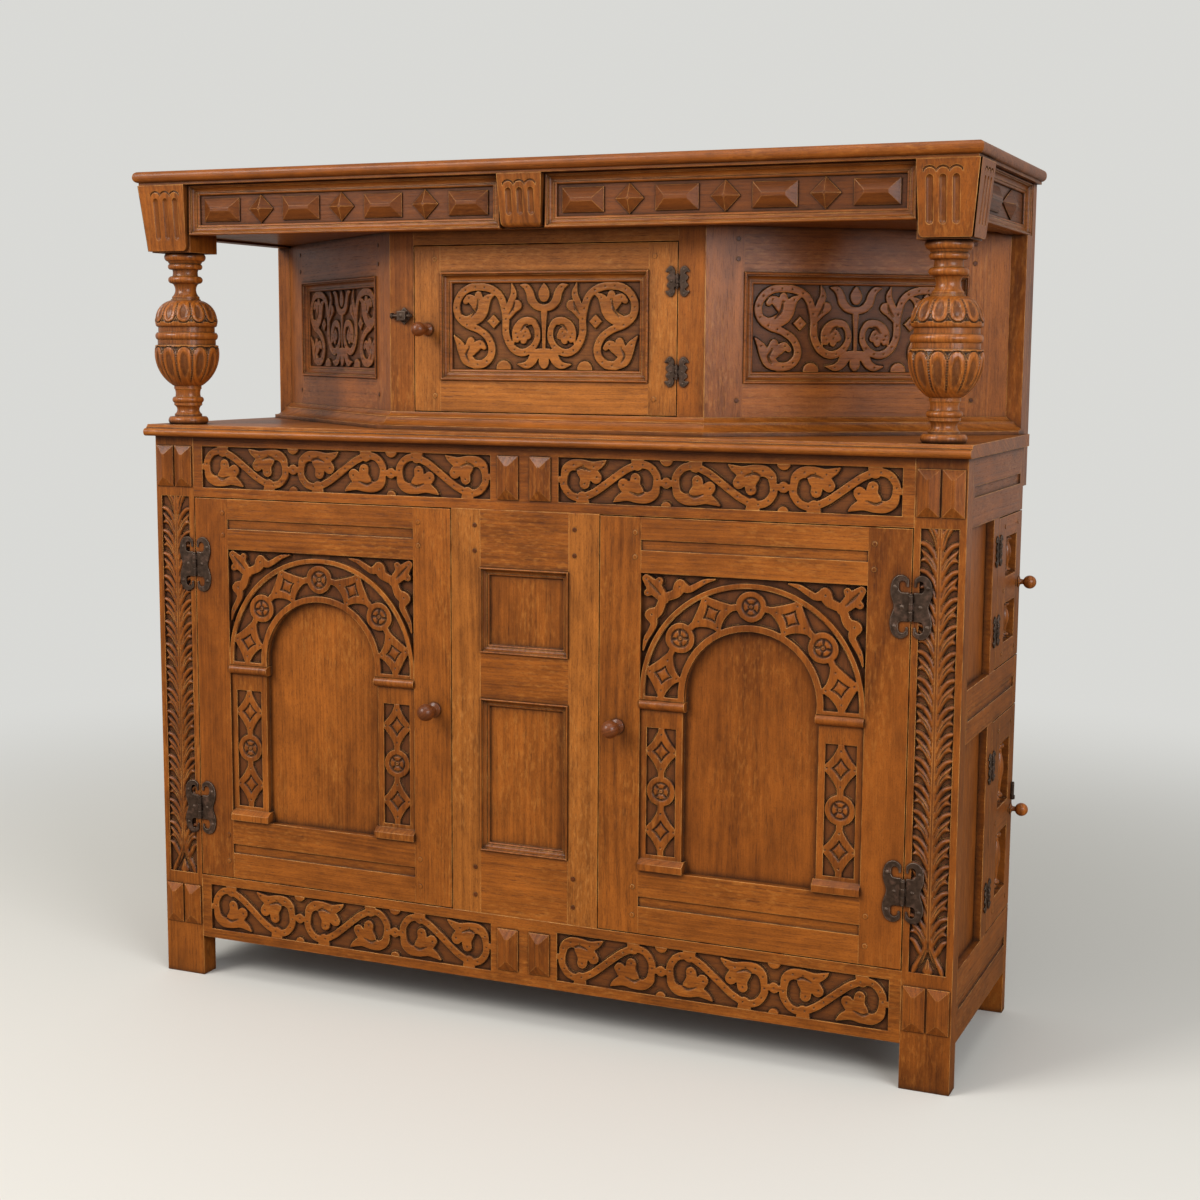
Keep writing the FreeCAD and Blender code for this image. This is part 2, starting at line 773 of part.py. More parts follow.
def sideFrame():
    # rails, short stiles and plain panels of the right side, seen from that side
    rails = ((bottomRailLow, bottomRailHigh), (sideRailLow, sideRailHigh), (topRailLow, caseHeight))
    bars = []
    mortises = []
    for low, high in rails:
        bar, holes = rail(frontPostDepth, sideLength, low, high, railThick, (shortTenon, backTenon))
        bars.append(bar)
        mortises += holes
    for low, high in ((bottomRailHigh, sideRailLow), (sideRailHigh, topRailLow)):
        stile, holes = upright(sidePanelEnd, sideDoorStart, low, high, railThick, shortTenon)
        bars = cutAll(bars, holes) + [stile]
    channels = []
    for low, high in rails:
        middle = (low + high) / 2
        start = frontPostDepth + pegInset
        end = sideLength - overrun
        ends = (middle - bandHeight / 2, middle + bandHeight / 2)
        channels.append(block(start, end, -overrun, bandDepth, *ends))
    bars = cutAll(bars, channels)
    panels = []
    for low, high in ((bottomRailHigh, sideRailLow), (sideRailHigh, topRailLow)):
        back = sidePanelFace + backPanelThick
        wide = (frontPostDepth - tongue, sidePanelEnd + tongue)
        ends = wide + (sidePanelFace, back, low - tongue, high + tongue)
        groove = block(*grown(ends))
        bars = cutAll(bars, [groove])
        mortises.append(groove)
        panels.append(block(*ends))
    return bars, panels, mortises


def sideDoor(low, high, windowShares, knobShare, hingeShares):
    # a side door, seen from its side, with spindles in two windows
    bottom = low + doorGap
    top = high - doorGap
    left = sideDoorStart + doorGap
    openings = between(low, high, windowShares)
    rails = ((bottom, openings[0]), (openings[1], openings[2]), (openings[3], top))
    stiles = (sideHingeStile, sideKnobStile)
    tenons = (shortTenon, shortTenon)
    frame, pegs = framed(left, caseDepth, bottom, top, sideDoorThick, stiles, rails, tenons)
    inner = left + sideHingeStile
    outer = caseDepth - sideKnobStile
    turnings = []
    for windowLow, windowHigh in (openings[0:2], openings[2:4]):
        tall = windowHigh - windowLow
        for share in (1, 2):
            x = inner + (outer - inner) * share / 3
            piece = turnedPiece(spindleShares, spindleRadius, tall)
            pinRadius = spindleRadius * spindleShares[5][0]
            lowEnd = V(0, 0, -spindlePinLength)
            highEnd = V(0, 0, tall + spindlePinLength)
            piece = fused(piece, rod(pinRadius, lowEnd, highEnd))
            clear = V(0, 0, pegEndGap)
            hole = rod(pinRadius + fitGap / 2, lowEnd - clear, highEnd + clear)
            turnings += moved([piece], x, sideDoorThick / 2, windowLow)
            frame = cutAll(frame, moved([hole], x, sideDoorThick / 2, windowLow))
    turned, bore = knob(sideKnobReach, sideKnobRadius)
    knobPlace = (caseDepth - sideKnobInset, 0, low + (high - low) * knobShare)
    frame = cutAll(frame, moved([bore], *knobPlace))
    turnings += moved([turned], *knobPlace)
    seam = sideDoorStart + doorGap / 2
    size = (sideHingeWidth, sideHingeHeight, smallHingeBarrel, earedWingShares, earedNailShares, ())
    iron = hingesAt(size, between(low, high, hingeShares), seam, caseHalf, 90)
    frame = cutAll(toRightSide(frame + pegs), iron[2])
    return frame, toRightSide(turnings), iron


def turnCatch():
    # a lever on a rivet, seen from the side; upright it stands clear of the post
    x = caseDepth - catchInset
    z = bottomRailHigh + (sideRailLow - bottomRailHigh) * catchShare
    back = -catchWasher / 4
    front = back - faceGap
    lever = rod(catchHalf, V(x, front, z), V(x, front - catchThick, z))
    lever = fused(
        lever,
        block(x - catchHalf, x + catchHalf, front - catchThick, front, z, z + catchLength),
        rod(catchHalf, V(x, front, z + catchLength), V(x, front - catchThick, z + catchLength)),
    )
    end = V(x, front - catchThick - faceGap, z)
    rivet = fused(
        rod(catchPivot, end, V(x, nailLength, z)),
        rod(catchWasher, V(x, back, z), V(x, 0, z)),
        rod(catchWasher, end - V(0, nailHeadHeight, 0), end),
    )
    hole = rod(catchPivot + pinGap, V(x, -catchThick * 3, z), V(x, nailLength + pegEndGap, z))
    return lever.cut(hole).Solids, [rivet], [hole]


def backFrameBetween(half, front, thick, low, high, foot, top, stile):
    # the framed back of one stage, with boards in its grooves
    railTenons = (shortTenon, shortTenon)
    rails = ((foot, foot + backRailHeight), (top - backRailHeight, top))
    bars = []
    mortises = []
    for railLow, railHigh in rails:
        bar, holes = rail(-half, half, railLow, railHigh, thick, railTenons)
        bars.append(bar)
        mortises += holes
    openLow = foot + backRailHeight
    openHigh = top - backRailHeight
    muntin, feet = upright(-backMuntin / 2, backMuntin / 2, openLow, openHigh, thick, shortTenon)
    bars = cutAll(bars, feet) + [muntin]
    posts = []
    if stile:
        posts = cutAll(both([block(half, half + stile, 0, thick, low, high)]), mortises)
    boards = []
    face = (thick - backPanelThick) / 2
    ends = (backMuntin / 2 - tongue, half, face, face + backPanelThick, openLow - tongue, openHigh + tongue)
    bars = cutAll(bars, both([block(*grown(ends))]))
    wide = (ends[1] - ends[0]) / backBoardCount
    for number in range(backBoardCount):
        start = ends[0] + number * wide
        boards.append(block(start, start + wide - fitGap, *ends[2:]))
    return moved(bars + posts, 0, front, 0), moved(both(boards), 0, front, 0), moved(mortises, 0, front, 0)


def shelfBoard():
    # the board on the lower case, its front edge moulded
    half = caseHalf + shelfOverhang
    top = caseHeight + shelfThick
    outline = wire(nosingShares, lambda u, v: V(-half, -u * shelfNose, caseHeight + v * shelfThick))
    nosing = Part.Face(outline).extrude(V(half * 2, 0, 0))
    # between the hanging posts it runs back to the upper stage's own back
    tongueHalf = upperPostHalf - upperPostWidth - hangGap
    tongue = block(-tongueHalf, tongueHalf, caseDepth - overrun, upperPostBack, caseHeight, top)
    return fused(block(-half, half, 0, caseDepth, caseHeight, top), nosing, tongue)


def topBoard():
    # the top, hollowed under its edge and rounded at the front and sides
    low = stageTop + topCove
    neckHalf = topHalfWidth - topCoveSet
    neck = block(-neckHalf, neckHalf, -topFront + topCoveSet, upperBack, stageTop, low)
    slab = block(-topHalfWidth, topHalfWidth, -topFront, upperBack, low, stageTop + topThick)
    edges = []
    for edge in slab.Edges:
        box = edge.BoundBox
        flat = box.ZLength < overrun
        atFront = box.YMax < -topFront + overrun
        atSide = box.YLength > overrun and abs(box.XMin) > topHalfWidth - overrun
        if flat and (atFront or atSide):
            edges.append(edge)
    return fused(slab.makeFillet(topRound, edges), neck)


def bracket(footHalf, topHalf, tall, back, topReach, footReach, corner=0):
    # a tapered block with three flutes, its back at y = 0, mitred at the side that has a corner
    low = stageTop - tall
    ends = [V(footHalf, 0, low), V(topHalf, 0, stageTop)]
    if corner:
        ends = [V(corner * (topHalf + footReach), 0, low), V(corner * (topHalf + topReach), 0, stageTop)]
    points = [V(-footHalf, 0, low), ends[0], ends[1], V(-topHalf, 0, stageTop)]
    if corner < 0:
        points = [ends[0], V(footHalf, 0, low), V(topHalf, 0, stageTop), ends[1]]
    body = plate(points, V(0, -topReach, 0))
    slope = (topReach - footReach) / tall
    side = -topHalf * 2
    wedge = [V(side, -topReach, stageTop), V(side, -footReach, low), V(side, -topReach * 2, low)]
    body = body.cut(plate(wedge, V(topHalf * 4, 0, 0)))
    feet = []
    for line in body.Edges:
        places = [(abs(abs(end.X) - footHalf), end.Z - low) for end in line.Vertexes]
        if all(off < overrun / 2 and rise < overrun / 2 for off, rise in places):
            feet.append(line)
    body = body.makeFillet(bracketRound, feet)
    if corner:
        edge = corner * (topHalf - bracketCornerGap)
        beyond = edge + corner * topHalf
        mitre = [V(edge, 0, low), V(beyond, -topHalf, low), V(beyond, 0, low)]
        body = body.cut(plate(mitre, V(0, 0, tall)))
    cutters = []
    for side in (-1, 0, 1):
        x = side * flutePitch
        out = fluteRadius - fluteDepth
        lowEnd = V(x, -footReach - slope * fluteLow - out, low + fluteLow)
        highEnd = V(x, -footReach - slope * (tall - fluteHigh) - out, stageTop - fluteHigh)
        shank = rod(fluteRadius, lowEnd, highEnd)
        cutters.append(fused(shank, ball(fluteRadius, lowEnd), ball(fluteRadius, highEnd)))
        # a shallow arc over each flute
        crown = stageTop - scallopTop
        face = -footReach - slope * (tall - scallopTop - scallopHeight / 2)
        arc = Part.makeTorus(scallopRadius, scallopCut, V(x, face, crown - scallopRadius), V(0, -1, 0))
        span = (x - flutePitch / 2, x + flutePitch / 2, face - scallopCut, face + scallopCut)
        cutters.append(arc.common(block(*span, crown - scallopHeight, crown + scallopCut)))
    return moved(cutAll(body.Solids, cutters), 0, back, 0)


def friezeSide(boardLeft, boardRight, ringLeft, ringRight):
    # a frieze board with a moulded frame around a sunk field, back of the moulding at y = 0
    board = block(boardLeft, boardRight, 0, friezeThick, friezeLow, stageTop)
    relief = (-friezeRelief, friezeMoulding, friezeRelief)
    ring = mouldingRing(ringLeft, ringRight, friezeLow, stageTop, *relief)
    return board, ring


def cornerBlock():
    return block(blockInner, blockInner + blockSize, -blockFront, blockBack, blockLow, stageTop)


def railBosses():
    # upright bosses on the posts and in the middle of the two front rails
    bosses = []
    postMiddle = (postInner + caseHalf) / 2
    for low, high in ((bottomRailLow, bottomRailHigh), (topRailLow, caseHeight)):
        middle = (low + high) / 2
        bosses.append(jewel(railBossMiddle, middle, railBossWidth, bossHeight, 0, bossRise))
        for x in (postMiddle - postBossStep, postMiddle + postBossStep):
            bosses.append(jewel(x, middle, postBossWidth, bossHeight, 0, bossRise))
    return both(bosses)


def friezeJewels(frontFace, sideFace):
    # blocks and lozenges by turns in the front friezes, one of each at the side
    middle = (friezeLow + stageTop) / 2
    start = centreBracketHalf + friezeBossMargin
    pitch = (blockInner - friezeBossMargin - start) / (friezeBossCount - 1)
    front = []
    for number in range(friezeBossCount):
        x = start + number * pitch
        if number % 2:
            front.append(diamond(x, middle, diamondSize, diamondSize, frontFace, friezeBossRise))
        else:
            length = pitch * friezeBossShare
            front.append(jewel(x, middle, length, friezeBossHeight, frontFace, friezeBossRise))
    deep = upperPostBack - blockBack
    place, length = sideBossShares
    side = [jewel(blockBack + deep * place, middle, deep * length, friezeBossHeight, 0, friezeBossRise)]
    place, length = sideDiamondShares
    side.append(diamond(blockBack + deep * place, middle, deep * length, diamondSize, 0, friezeBossRise))
    return both(front + moved(swung(side, 90), sideFace, 0, 0))


def boardsInside():
    # the bottom board and the shelf of the lower case, on their side battens
    inside = caseHalf - railThick
    corner = block(postInner, caseHalf, 0, frontPostDepth, 0, caseHeight)
    boards = []
    for top in (bottomRailHigh, shelfLow + floorBoardThick):
        low = top - floorBoardThick
        board = block(-inside, inside, railThick, sideLength, low, top)
        boards += cutAll([board], both([corner]))
        boards += both([block(inside - cleat, inside, frontPostDepth, sideLength, low - cleat, low)])
    return boards


def upperDoor():
    # the door of the upper cupboard: frame with its pegs, panel and moulding, knob
    half = upperDoorHalf - doorGap
    inner = upperDoorHalf - upperDoorStile
    rails = ((upperDoorLow + doorGap, upperPanelLow), (upperDoorTop, upperDoorHigh - doorGap))
    stiles = (half - inner, half - inner)
    low = rails[0][0]
    high = rails[1][1]
    frame, pegs = framed(-half, half, low, high, boardThick, stiles, rails, (longTenon, longTenon))
    frame, board = panel(frame, -inner, inner, upperPanelLow, upperDoorTop, upperPanelFace, backPanelThick)
    depth = upperPanelFace + mouldingProud
    ring = mouldingRing(-inner, inner, upperPanelLow, upperDoorTop, -mouldingProud, upperMoulding, depth)
    turned, bore = knob(upperKnobReach, upperKnobRadius)
    knobPlace = (upperKnobInset - upperDoorHalf, 0, low + (high - low) * upperKnobShare)
    frame = cutAll(frame, moved([bore], *knobPlace))
    turned = moved([turned], *knobPlace)
    return [moved(shapes, 0, flatFace, 0) for shapes in (frame + pegs, [board] + ring, turned)]


def flatFront(mitre):
    # the flat frame round the upper door; its stiles meet the canted fronts in mitres
    push = V(0, 0, soffitLow - upperLow)
    back = flatFace + boardThick
    corners = [V(upperDoorHalf, flatFace, upperLow), V(flatHalf, flatFace, upperLow)]
    corners += [V(flatHalf - mitre, back, upperLow), V(upperDoorHalf, back, upperLow)]
    bars = []
    holes = []
    for low, high in ((upperLow, upperDoorLow), (upperDoorHigh, soffitLow)):
        bar, mortises = rail(-upperDoorHalf, upperDoorHalf, low, high, boardThick, (shortTenon, shortTenon))
        bars += moved([bar], 0, flatFace, 0)
        holes += moved(mortises, 0, flatFace, 0)
    return cutAll(both([plate(corners, push)]), holes) + bars


def upperCorner(sideFace):
    # the right back post of the upper stage; its foot hangs behind the lower case
    left = upperPostHalf - upperPostWidth
    hang = block(left, upperPostHalf, caseDepth + hangGap, upperPostBack, upperPostFoot, upperLow)
    shaft = block(left, upperPostHalf, upperPostFront, upperPostBack, upperLow, friezeLow)
    tenon = (
        left, sideFace - friezeThick * tenonCheekShare, upperPostFront + pegInset, upperPostBack - pegInset,
        friezeLow, friezeLow + shortTenon,
    )
    return fused(shaft, hang, block(*tenon)), block(*grown(tenon))


def baluster():
    # a cup-and-cover baluster with a dowel at either end, and the bores
    turned = turnedPiece(balusterShares, balusterHeight, balusterHeight)
    dowels = rod(dowelRadius, V(0, 0, -dowelLength), V(0, 0, balusterHeight + dowelLength))
    deep = dowelLength + pegEndGap
    bore = rod(dowelRadius + fitGap / 2, V(0, 0, -deep), V(0, 0, balusterHeight + deep))
    place = (blockMiddle, blockSize / 2 - blockFront, upperLow)
    return moved([fused(turned, dowels)], *place), moved([bore], *place)


def cantedFrame(angle, length, footprint):
    # the right canted front, built straight and swung into place
    start = cantedStart
    end = length - cantedEnd
    rails = ((upperLow, upperPanelLow), (cantedPanelTop, soffitLow))
    stiles = (start + boardThick, cantedEnd + boardThick * 2)
    frame, pegs = framed(
        -boardThick, length + boardThick * 2, upperLow, soffitLow, boardThick, stiles, rails,
        (longTenon, longTenon), ((upperDoorLow, upperPanelLow), rails[1]),
    )
    frame, board = panel(frame, start, end, upperPanelLow, cantedPanelTop, upperPanelFace, backPanelThick)
    depth = upperPanelFace + mouldingProud
    ring = mouldingRing(start, end, upperPanelLow, cantedPanelTop, -mouldingProud, upperMoulding, depth)
    turn = [moved(swung(shapes, angle), flatHalf, flatFace, 0) for shapes in (frame, pegs, [board] + ring)]
    turn[0] = [piece for solid in turn[0] for piece in solid.common(footprint).Solids]
    return turn


def baseMoulding(angle, far):
    # the three runs of moulding at the foot of the upper cupboard, mitred together
    tall = upperDoorLow - upperLow
    reach = baseReach + overrun
    spread = reach * math.tan(math.radians(angle / 2))
    tail = far.x + baseReach * 3
    outline = wire(baseShares, lambda u, v: V(-tail, -u * baseReach, v * tall))
    run = Part.Face(outline).extrude(V(tail * 2, 0, 0))
    push = V(0, 0, tall)
    middle = [V(-flatHalf, flatFace, upperLow), V(flatHalf, flatFace, upperLow)]
    front = flatFace - reach
    middle += [V(flatHalf + spread, front, upperLow), V(-flatHalf - spread, front, upperLow)]
    side = [middle[1], far, V(upperPostHalf, upperPostFront, upperLow)]
    side += [V(upperPostHalf, front, upperLow), middle[2]]
    straight = moved([run], 0, flatFace, upperLow)[0].common(plate(middle, push)).Solids
    slanted = moved(swung([run], angle), flatHalf, flatFace, upperLow)[0].common(plate(side, push)).Solids
    return straight + both(slanted)


def slidingBolt():
    # plate, guide and bolt beside the upper door; drawn back at rest
    z = upperDoorLow + (upperDoorHigh - upperDoorLow) * boltShare
    x = -upperDoorHalf - boltPlateInset
    face = flatFace
    reach = boltPlateHalf
    corners = [V(x - reach, face, z), V(x, face, z - reach), V(x + reach, face, z), V(x, face, z + reach)]
    ground = plate(corners, V(0, -leafThick, 0))
    guide = block(
        x - boltGuideHalf, x + boltGuideHalf, face - leafThick - boltGuideDepth, face - leafThick,
        z - boltGuideHalf, z + boltGuideHalf,
    )
    front = V(x, face - leafThick - boltGuideDepth, z)
    stud = Part.makeCone(boltRadius, boltRadius / 2, nailHeadHeight, front, V(0, -1, 0))
    axis = face - boltAxisOut
    tip = V(-upperDoorHalf - boltPointInset - boltRadius, axis, z)
    stop = x - boltGuideHalf - boltTravel - faceGap
    collarEnd = V(stop - boltCollarLength, axis, z)
    collar = rod(boltCollarRadius, collarEnd, V(stop, axis, z))
    bolt = fused(rod(boltRadius, collarEnd, tip), ball(boltRadius, tip), collar)
    bore = rod(boltRadius + faceGap, V(x - boltPlateHalf * 2, axis, z), V(x + boltPlateHalf * 2, axis, z))
    holder = fused(ground, guide, stud).cut(bore).Solids
    nails = []
    holes = []
    for side in (-1, 1):
        body, hole = nail(x, z + side * (boltPlateHalf + boltGuideHalf) / 2, boltRadius / 2, -leafThick)
        nails += moved([body], 0, face, 0)
        holes += moved([hole], 0, face, 0)
    return cutAll(holder, holes) + nails, [bolt], holes


def export(node, solids):
    whole = Part.makeCompound(solids)
    whole.translate(V(0, -depthShift, 0))
    whole.exportStep("parts/" + node + ".step")


# Lower case
topRail, topHoles = carvedRail(topRailLow, caseHeight)
bottomRail, bottomHoles = carvedRail(bottomRailLow, bottomRailHigh)
centreWood, centrePanels, centrePegs, centreHoles = centreFrame()
topRail = cutAll(topRail, centreHoles)
bottomRail = cutAll(bottomRail, centreHoles)
sideBars, sidePanels, sideHoles = sideFrame()
rightPosts = cutAll([frontPost(), backPost()], topHoles + bottomHoles + toRightSide(sideHoles))
backBars, backBoards, backHoles = backFrameBetween(
    backInner, sideLength + overrun, backThick, 0, 0, bottomRailLow, caseHeight, 0,
)
rightPosts = cutAll(rightPosts, backHoles)

# Front doors with their hinges
doorWood, doorPanel, doorKnob = frontDoor()
frontHinge = (hingeWidth, hingeHeight, hingeBarrel, scrollWingShares, scrollNailShares, scrollHoleShares)
frontHingeHeights = between(bottomRailHigh, topRailLow, frontHingeShares)
doorIron = hingesAt(frontHinge, frontHingeHeights, postInner - doorGap / 2, 0)
doorWood = cutAll(doorWood, doorIron[2])
rightPosts = cutAll(rightPosts, doorIron[3])

# Side doors with their hinges
upperSide = sideDoor(sideRailHigh, topRailLow, upperWindowShares, upperSideKnobShare, upperSideHingeShares)
lowerSide = sideDoor(
    bottomRailHigh, sideRailLow, lowerWindowShares, lowerSideKnobShare, lowerSideHingeShares,
)
sideWood = cutAll(toRightSide(sideBars), upperSide[2][3] + lowerSide[2][3])
lever, rivet, rivetHole = [toRightSide(shapes) for shapes in turnCatch()]
lowerSideWood = cutAll(lowerSide[0], rivetHole)

# Frieze of the upper stage
cheek = friezeThick * tenonCheekShare
friezeTenonEnds = (cheek, friezeThick - cheek, friezeLow + friezeMoulding, stageTop - friezeMoulding)
frontTenon = (blockInner, blockInner + shortTenon) + friezeTenonEnds
frontBoard, frontRing = friezeSide(-blockInner, blockInner, centreBracketHalf, blockInner)
frontBoard = fused(frontBoard, *both([block(*frontTenon)]))
frontFace = friezeRelief - friezeFace
frontFrieze = moved([frontBoard, block(*grown(frontTenon))] + frontRing, 0, frontFace, 0)
sideTenon = (blockBack - shortTenon, blockBack) + friezeTenonEnds
sideBoard, sideRing = friezeSide(blockBack, upperPostBack, blockBack, upperPostBack)
sideFace = caseHalf - sideFriezeInset - friezeRelief
sideBoards = [fused(sideBoard, block(*sideTenon)), block(*grown(sideTenon))]
sideFrieze = moved(swung(sideBoards + sideRing, 90), sideFace, 0, 0)
upperPost, postMortise = upperCorner(sideFace)
sideFriezeBoard = cutAll(sideFrieze[:1], [postMortise])

# Corner blocks, brackets and balusters
turning, turningBore = baluster()
cornerWood = cutAll([cornerBlock()], turningBore + [frontFrieze[1], sideFrieze[1]])
bracketSizes = (bracketFootWidth / 2, blockSize / 2, bracketHeight, 0, bracketTopReach, bracketFootReach)
sideBracket = swung(bracket(*bracketSizes, -1), 90)
sideBracket = moved(sideBracket, blockMiddle + blockSize / 2, blockSize / 2 - blockFront, 0)
frontBracket = moved(bracket(*bracketSizes, 1), blockMiddle, -blockFront, 0)
centreBracket = bracket(
    centreBracketFootHalf, centreBracketHalf, centreBracketHeight, frontFace,
    centreBracketReach, centreBracketFootReach,
)

# Soffit and back of the upper stage
soffitHalf = sideFace - friezeThick
soffitHigh = soffitLow + soffitThick
soffit = block(-soffitHalf, soffitHalf, frontFace + friezeThick, upperPostBack, soffitLow, soffitHigh)
blockRoom = block(*grown((blockInner, caseHalf, 0, blockBack, blockLow, stageTop)))
soffit = cutAll([soffit], both([blockRoom]))
upperFrame, upperBoards, endMortises = backFrameBetween(
    upperPostHalf - upperBackStile, upperPostBack, upperBackThick, upperPostFoot, stageTop,
    upperLow, stageTop, upperBackStile,
)

# Upper cupboard
farPoint = V(upperPostHalf - upperPostWidth, upperPostFront, upperLow)
cornerPoint = V(flatHalf, flatFace, upperLow)
span = farPoint - cornerPoint
angle = math.degrees(math.atan2(span.y, span.x))
mitre = boardThick * math.tan(math.radians(angle / 2))
backPoint = farPoint + V(0, boardThick / math.cos(math.radians(angle)), 0)
mitrePoint = V(flatHalf - mitre, flatFace + boardThick, upperLow)
footprint = plate([cornerPoint, farPoint, backPoint, mitrePoint], V(0, 0, soffitLow - upperLow))
cantedWood, cantedPegs, cantedPanels = cantedFrame(angle, span.Length, footprint)
friezeRoom = block(*grown((soffitHalf, caseHalf, blockBack, upperPostBack, friezeLow, stageTop)))
cantedWood = cutAll(cantedWood, [friezeRoom])
upperDoorWood, upperDoorPanel, upperDoorKnob = upperDoor()
smallHinge = (smallHingeWidth, smallHingeHeight, smallHingeBarrel, earedWingShares, earedNailShares, ())
upperHingeHeights = between(upperDoorLow, upperDoorHigh, upperDoorHingeShares)
upperIron = hingesAt(smallHinge, upperHingeHeights, upperDoorHalf - doorGap / 2, flatFace)
upperDoorWood = cutAll(upperDoorWood, upperIron[2])
boltHolder, bolt, boltHoles = slidingBolt()
flatWood = cutAll(flatFront(mitre), upperIron[3] + boltHoles)

# One file for each node
export("right_front_post", rightPosts[:1])
export("left_front_post", mirrored(rightPosts[:1]))
export("back_posts", both(rightPosts[1:]))
export("front_top_rail", topRail)
export("front_bottom_rail", bottomRail)
export("centre_frame", centreWood)
export("centre_panels", centrePanels)
export("right_side_frame", sideWood)
export("left_side_frame", mirrored(sideWood))
export("side_panels", both(toRightSide(sidePanels)))
export("back_frame", backBars)
export("back_boards", backBoards + upperBoards)
export("inner_boards", boardsInside())
export("shelf_board", cutAll([shelfBoard()], both(turningBore)))
export("post_bosses", railBosses())
export("oak_pegs", centrePegs + both(cantedPegs))
for side, turn in (("right", list), ("left", mirrored)):
    export(side + "_door_frame", turn(doorWood))
    export(side + "_door_panel", turn(doorPanel))
    export(side + "_door_knob", turn(doorKnob))
    export(side + "_door_hinge_leaves", turn(doorIron[0]))
    export(side + "_upper_side_door_frame", turn(upperSide[0]))
    export(side + "_upper_side_door_turnings", turn(upperSide[1]))
    export(side + "_upper_side_door_hinge_leaves", turn(upperSide[2][0]))
    export(side + "_lower_side_door_frame", turn(lowerSideWood))
    export(side + "_lower_side_door_turnings", turn(lowerSide[1]))
    export(side + "_lower_side_door_iron", turn(lowerSide[2][0] + rivet))
    export(side + "_turn_catch", turn(lever))
    export(side + "_baluster", turn(turning))
export("case_ironwork", both(doorIron[1] + upperSide[2][1] + lowerSide[2][1]) + upperIron[1] + boltHolder)
export("bolt", bolt)
export("top_board", [topBoard()])
export("frieze_boards", frontFrieze[:1] + both(sideFriezeBoard))
export("frieze_mouldings", both(frontFrieze[2:] + sideFrieze[2:]))
export("frieze_bosses", friezeJewels(frontFace, sideFace))
export("corner_blocks", both(cornerWood))
export("brackets", both(frontBracket + sideBracket) + centreBracket)
export("soffit_board", soffit)
export("upper_posts", both([upperPost]))
export("upper_back_frame", upperFrame)
export("upper_front_frame", flatWood)
export("canted_frames", both(cantedWood))
export("canted_panels", both(cantedPanels))
export("base_moulding", baseMoulding(angle, farPoint))
export("upper_door_frame", upperDoorWood)
export("upper_door_panel", upperDoorPanel)
export("upper_door_knob", upperDoorKnob)
export("upper_door_hinge_leaves", upperIron[0])
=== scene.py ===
import cmath
import math

import bmesh
import bpy
import numpy as np
from mathutils import Matrix, Vector


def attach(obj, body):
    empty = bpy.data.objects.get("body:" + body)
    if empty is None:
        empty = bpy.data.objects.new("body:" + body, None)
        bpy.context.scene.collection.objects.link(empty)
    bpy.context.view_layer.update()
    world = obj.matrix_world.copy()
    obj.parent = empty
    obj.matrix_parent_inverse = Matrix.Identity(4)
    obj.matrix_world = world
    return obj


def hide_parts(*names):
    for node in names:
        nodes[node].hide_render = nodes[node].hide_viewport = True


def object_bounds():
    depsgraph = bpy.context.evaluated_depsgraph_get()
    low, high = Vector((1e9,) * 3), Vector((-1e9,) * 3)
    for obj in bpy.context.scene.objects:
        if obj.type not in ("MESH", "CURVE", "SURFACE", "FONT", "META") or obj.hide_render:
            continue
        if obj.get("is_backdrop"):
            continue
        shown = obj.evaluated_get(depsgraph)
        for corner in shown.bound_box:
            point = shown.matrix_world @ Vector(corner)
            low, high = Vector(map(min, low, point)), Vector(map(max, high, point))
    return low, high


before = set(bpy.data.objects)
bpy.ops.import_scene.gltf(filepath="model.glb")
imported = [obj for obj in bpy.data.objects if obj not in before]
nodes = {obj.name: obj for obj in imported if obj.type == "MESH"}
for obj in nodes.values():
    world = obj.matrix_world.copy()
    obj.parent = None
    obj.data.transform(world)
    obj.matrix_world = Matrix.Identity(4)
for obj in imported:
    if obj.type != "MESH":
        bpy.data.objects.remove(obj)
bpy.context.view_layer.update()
depthShift = 188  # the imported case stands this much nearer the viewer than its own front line
sides = ((1, "right"), (-1, "left"))

# camera, lamps and room
view = {
    "place": (1183.7, -2456.3, 1015.7), "turn": 23.38, "tip": 7.59, "roll": 0.36,
    "lens": 56.13, "sensor": 36,
}
lamps = (  # name, place, aim, size, watts, colour
    ("window", (-2.2, -3.0, 2.9), (0, 0, 0.8), (2.0, 1.6), 111, (1, 0.97, 0.93)),
    ("fill", (3.0, -2.2, 1.8), (0.2, 0, 0.7), (2.0, 1.6), 68, (0.95, 0.97, 1)),
    ("over", (0.3, -0.9, 3.4), (0, 0, 0.6), (2.4, 1.6), 26, (1, 0.98, 0.95)),
)
# light is how bright the room is on the wood, seen how bright it is as the backdrop
room = {"colour": (0.87, 0.87, 0.84, 1), "light": 0.46, "seen": 0.8}


def link(thing):
    bpy.context.scene.collection.objects.link(thing)


def setCamera():
    turn, tip, roll = [math.radians(view[name]) for name in ("turn", "tip", "roll")]
    flat = math.cos(tip)
    ahead = Vector((-math.sin(turn) * flat, math.cos(turn) * flat, -math.sin(tip)))
    side = Vector((math.cos(turn), math.sin(turn), 0))
    up = side.cross(ahead)
    level = math.cos(roll) * side + math.sin(roll) * up
    plumb = math.cos(roll) * up - math.sin(roll) * side
    data = bpy.data.cameras.new("camera")
    data.lens, data.sensor_width = view["lens"], view["sensor"]
    camera = bpy.data.objects.new("camera", data)
    matrix = Matrix((level, plumb, -ahead)).transposed().to_4x4()
    x, y, z = view["place"]  # millimetres on the case: from its middle, its front and the floor
    matrix.translation = Vector((x, y - depthShift, z)) / 1000
    camera.matrix_world = matrix
    link(camera)
    bpy.context.scene.camera = camera


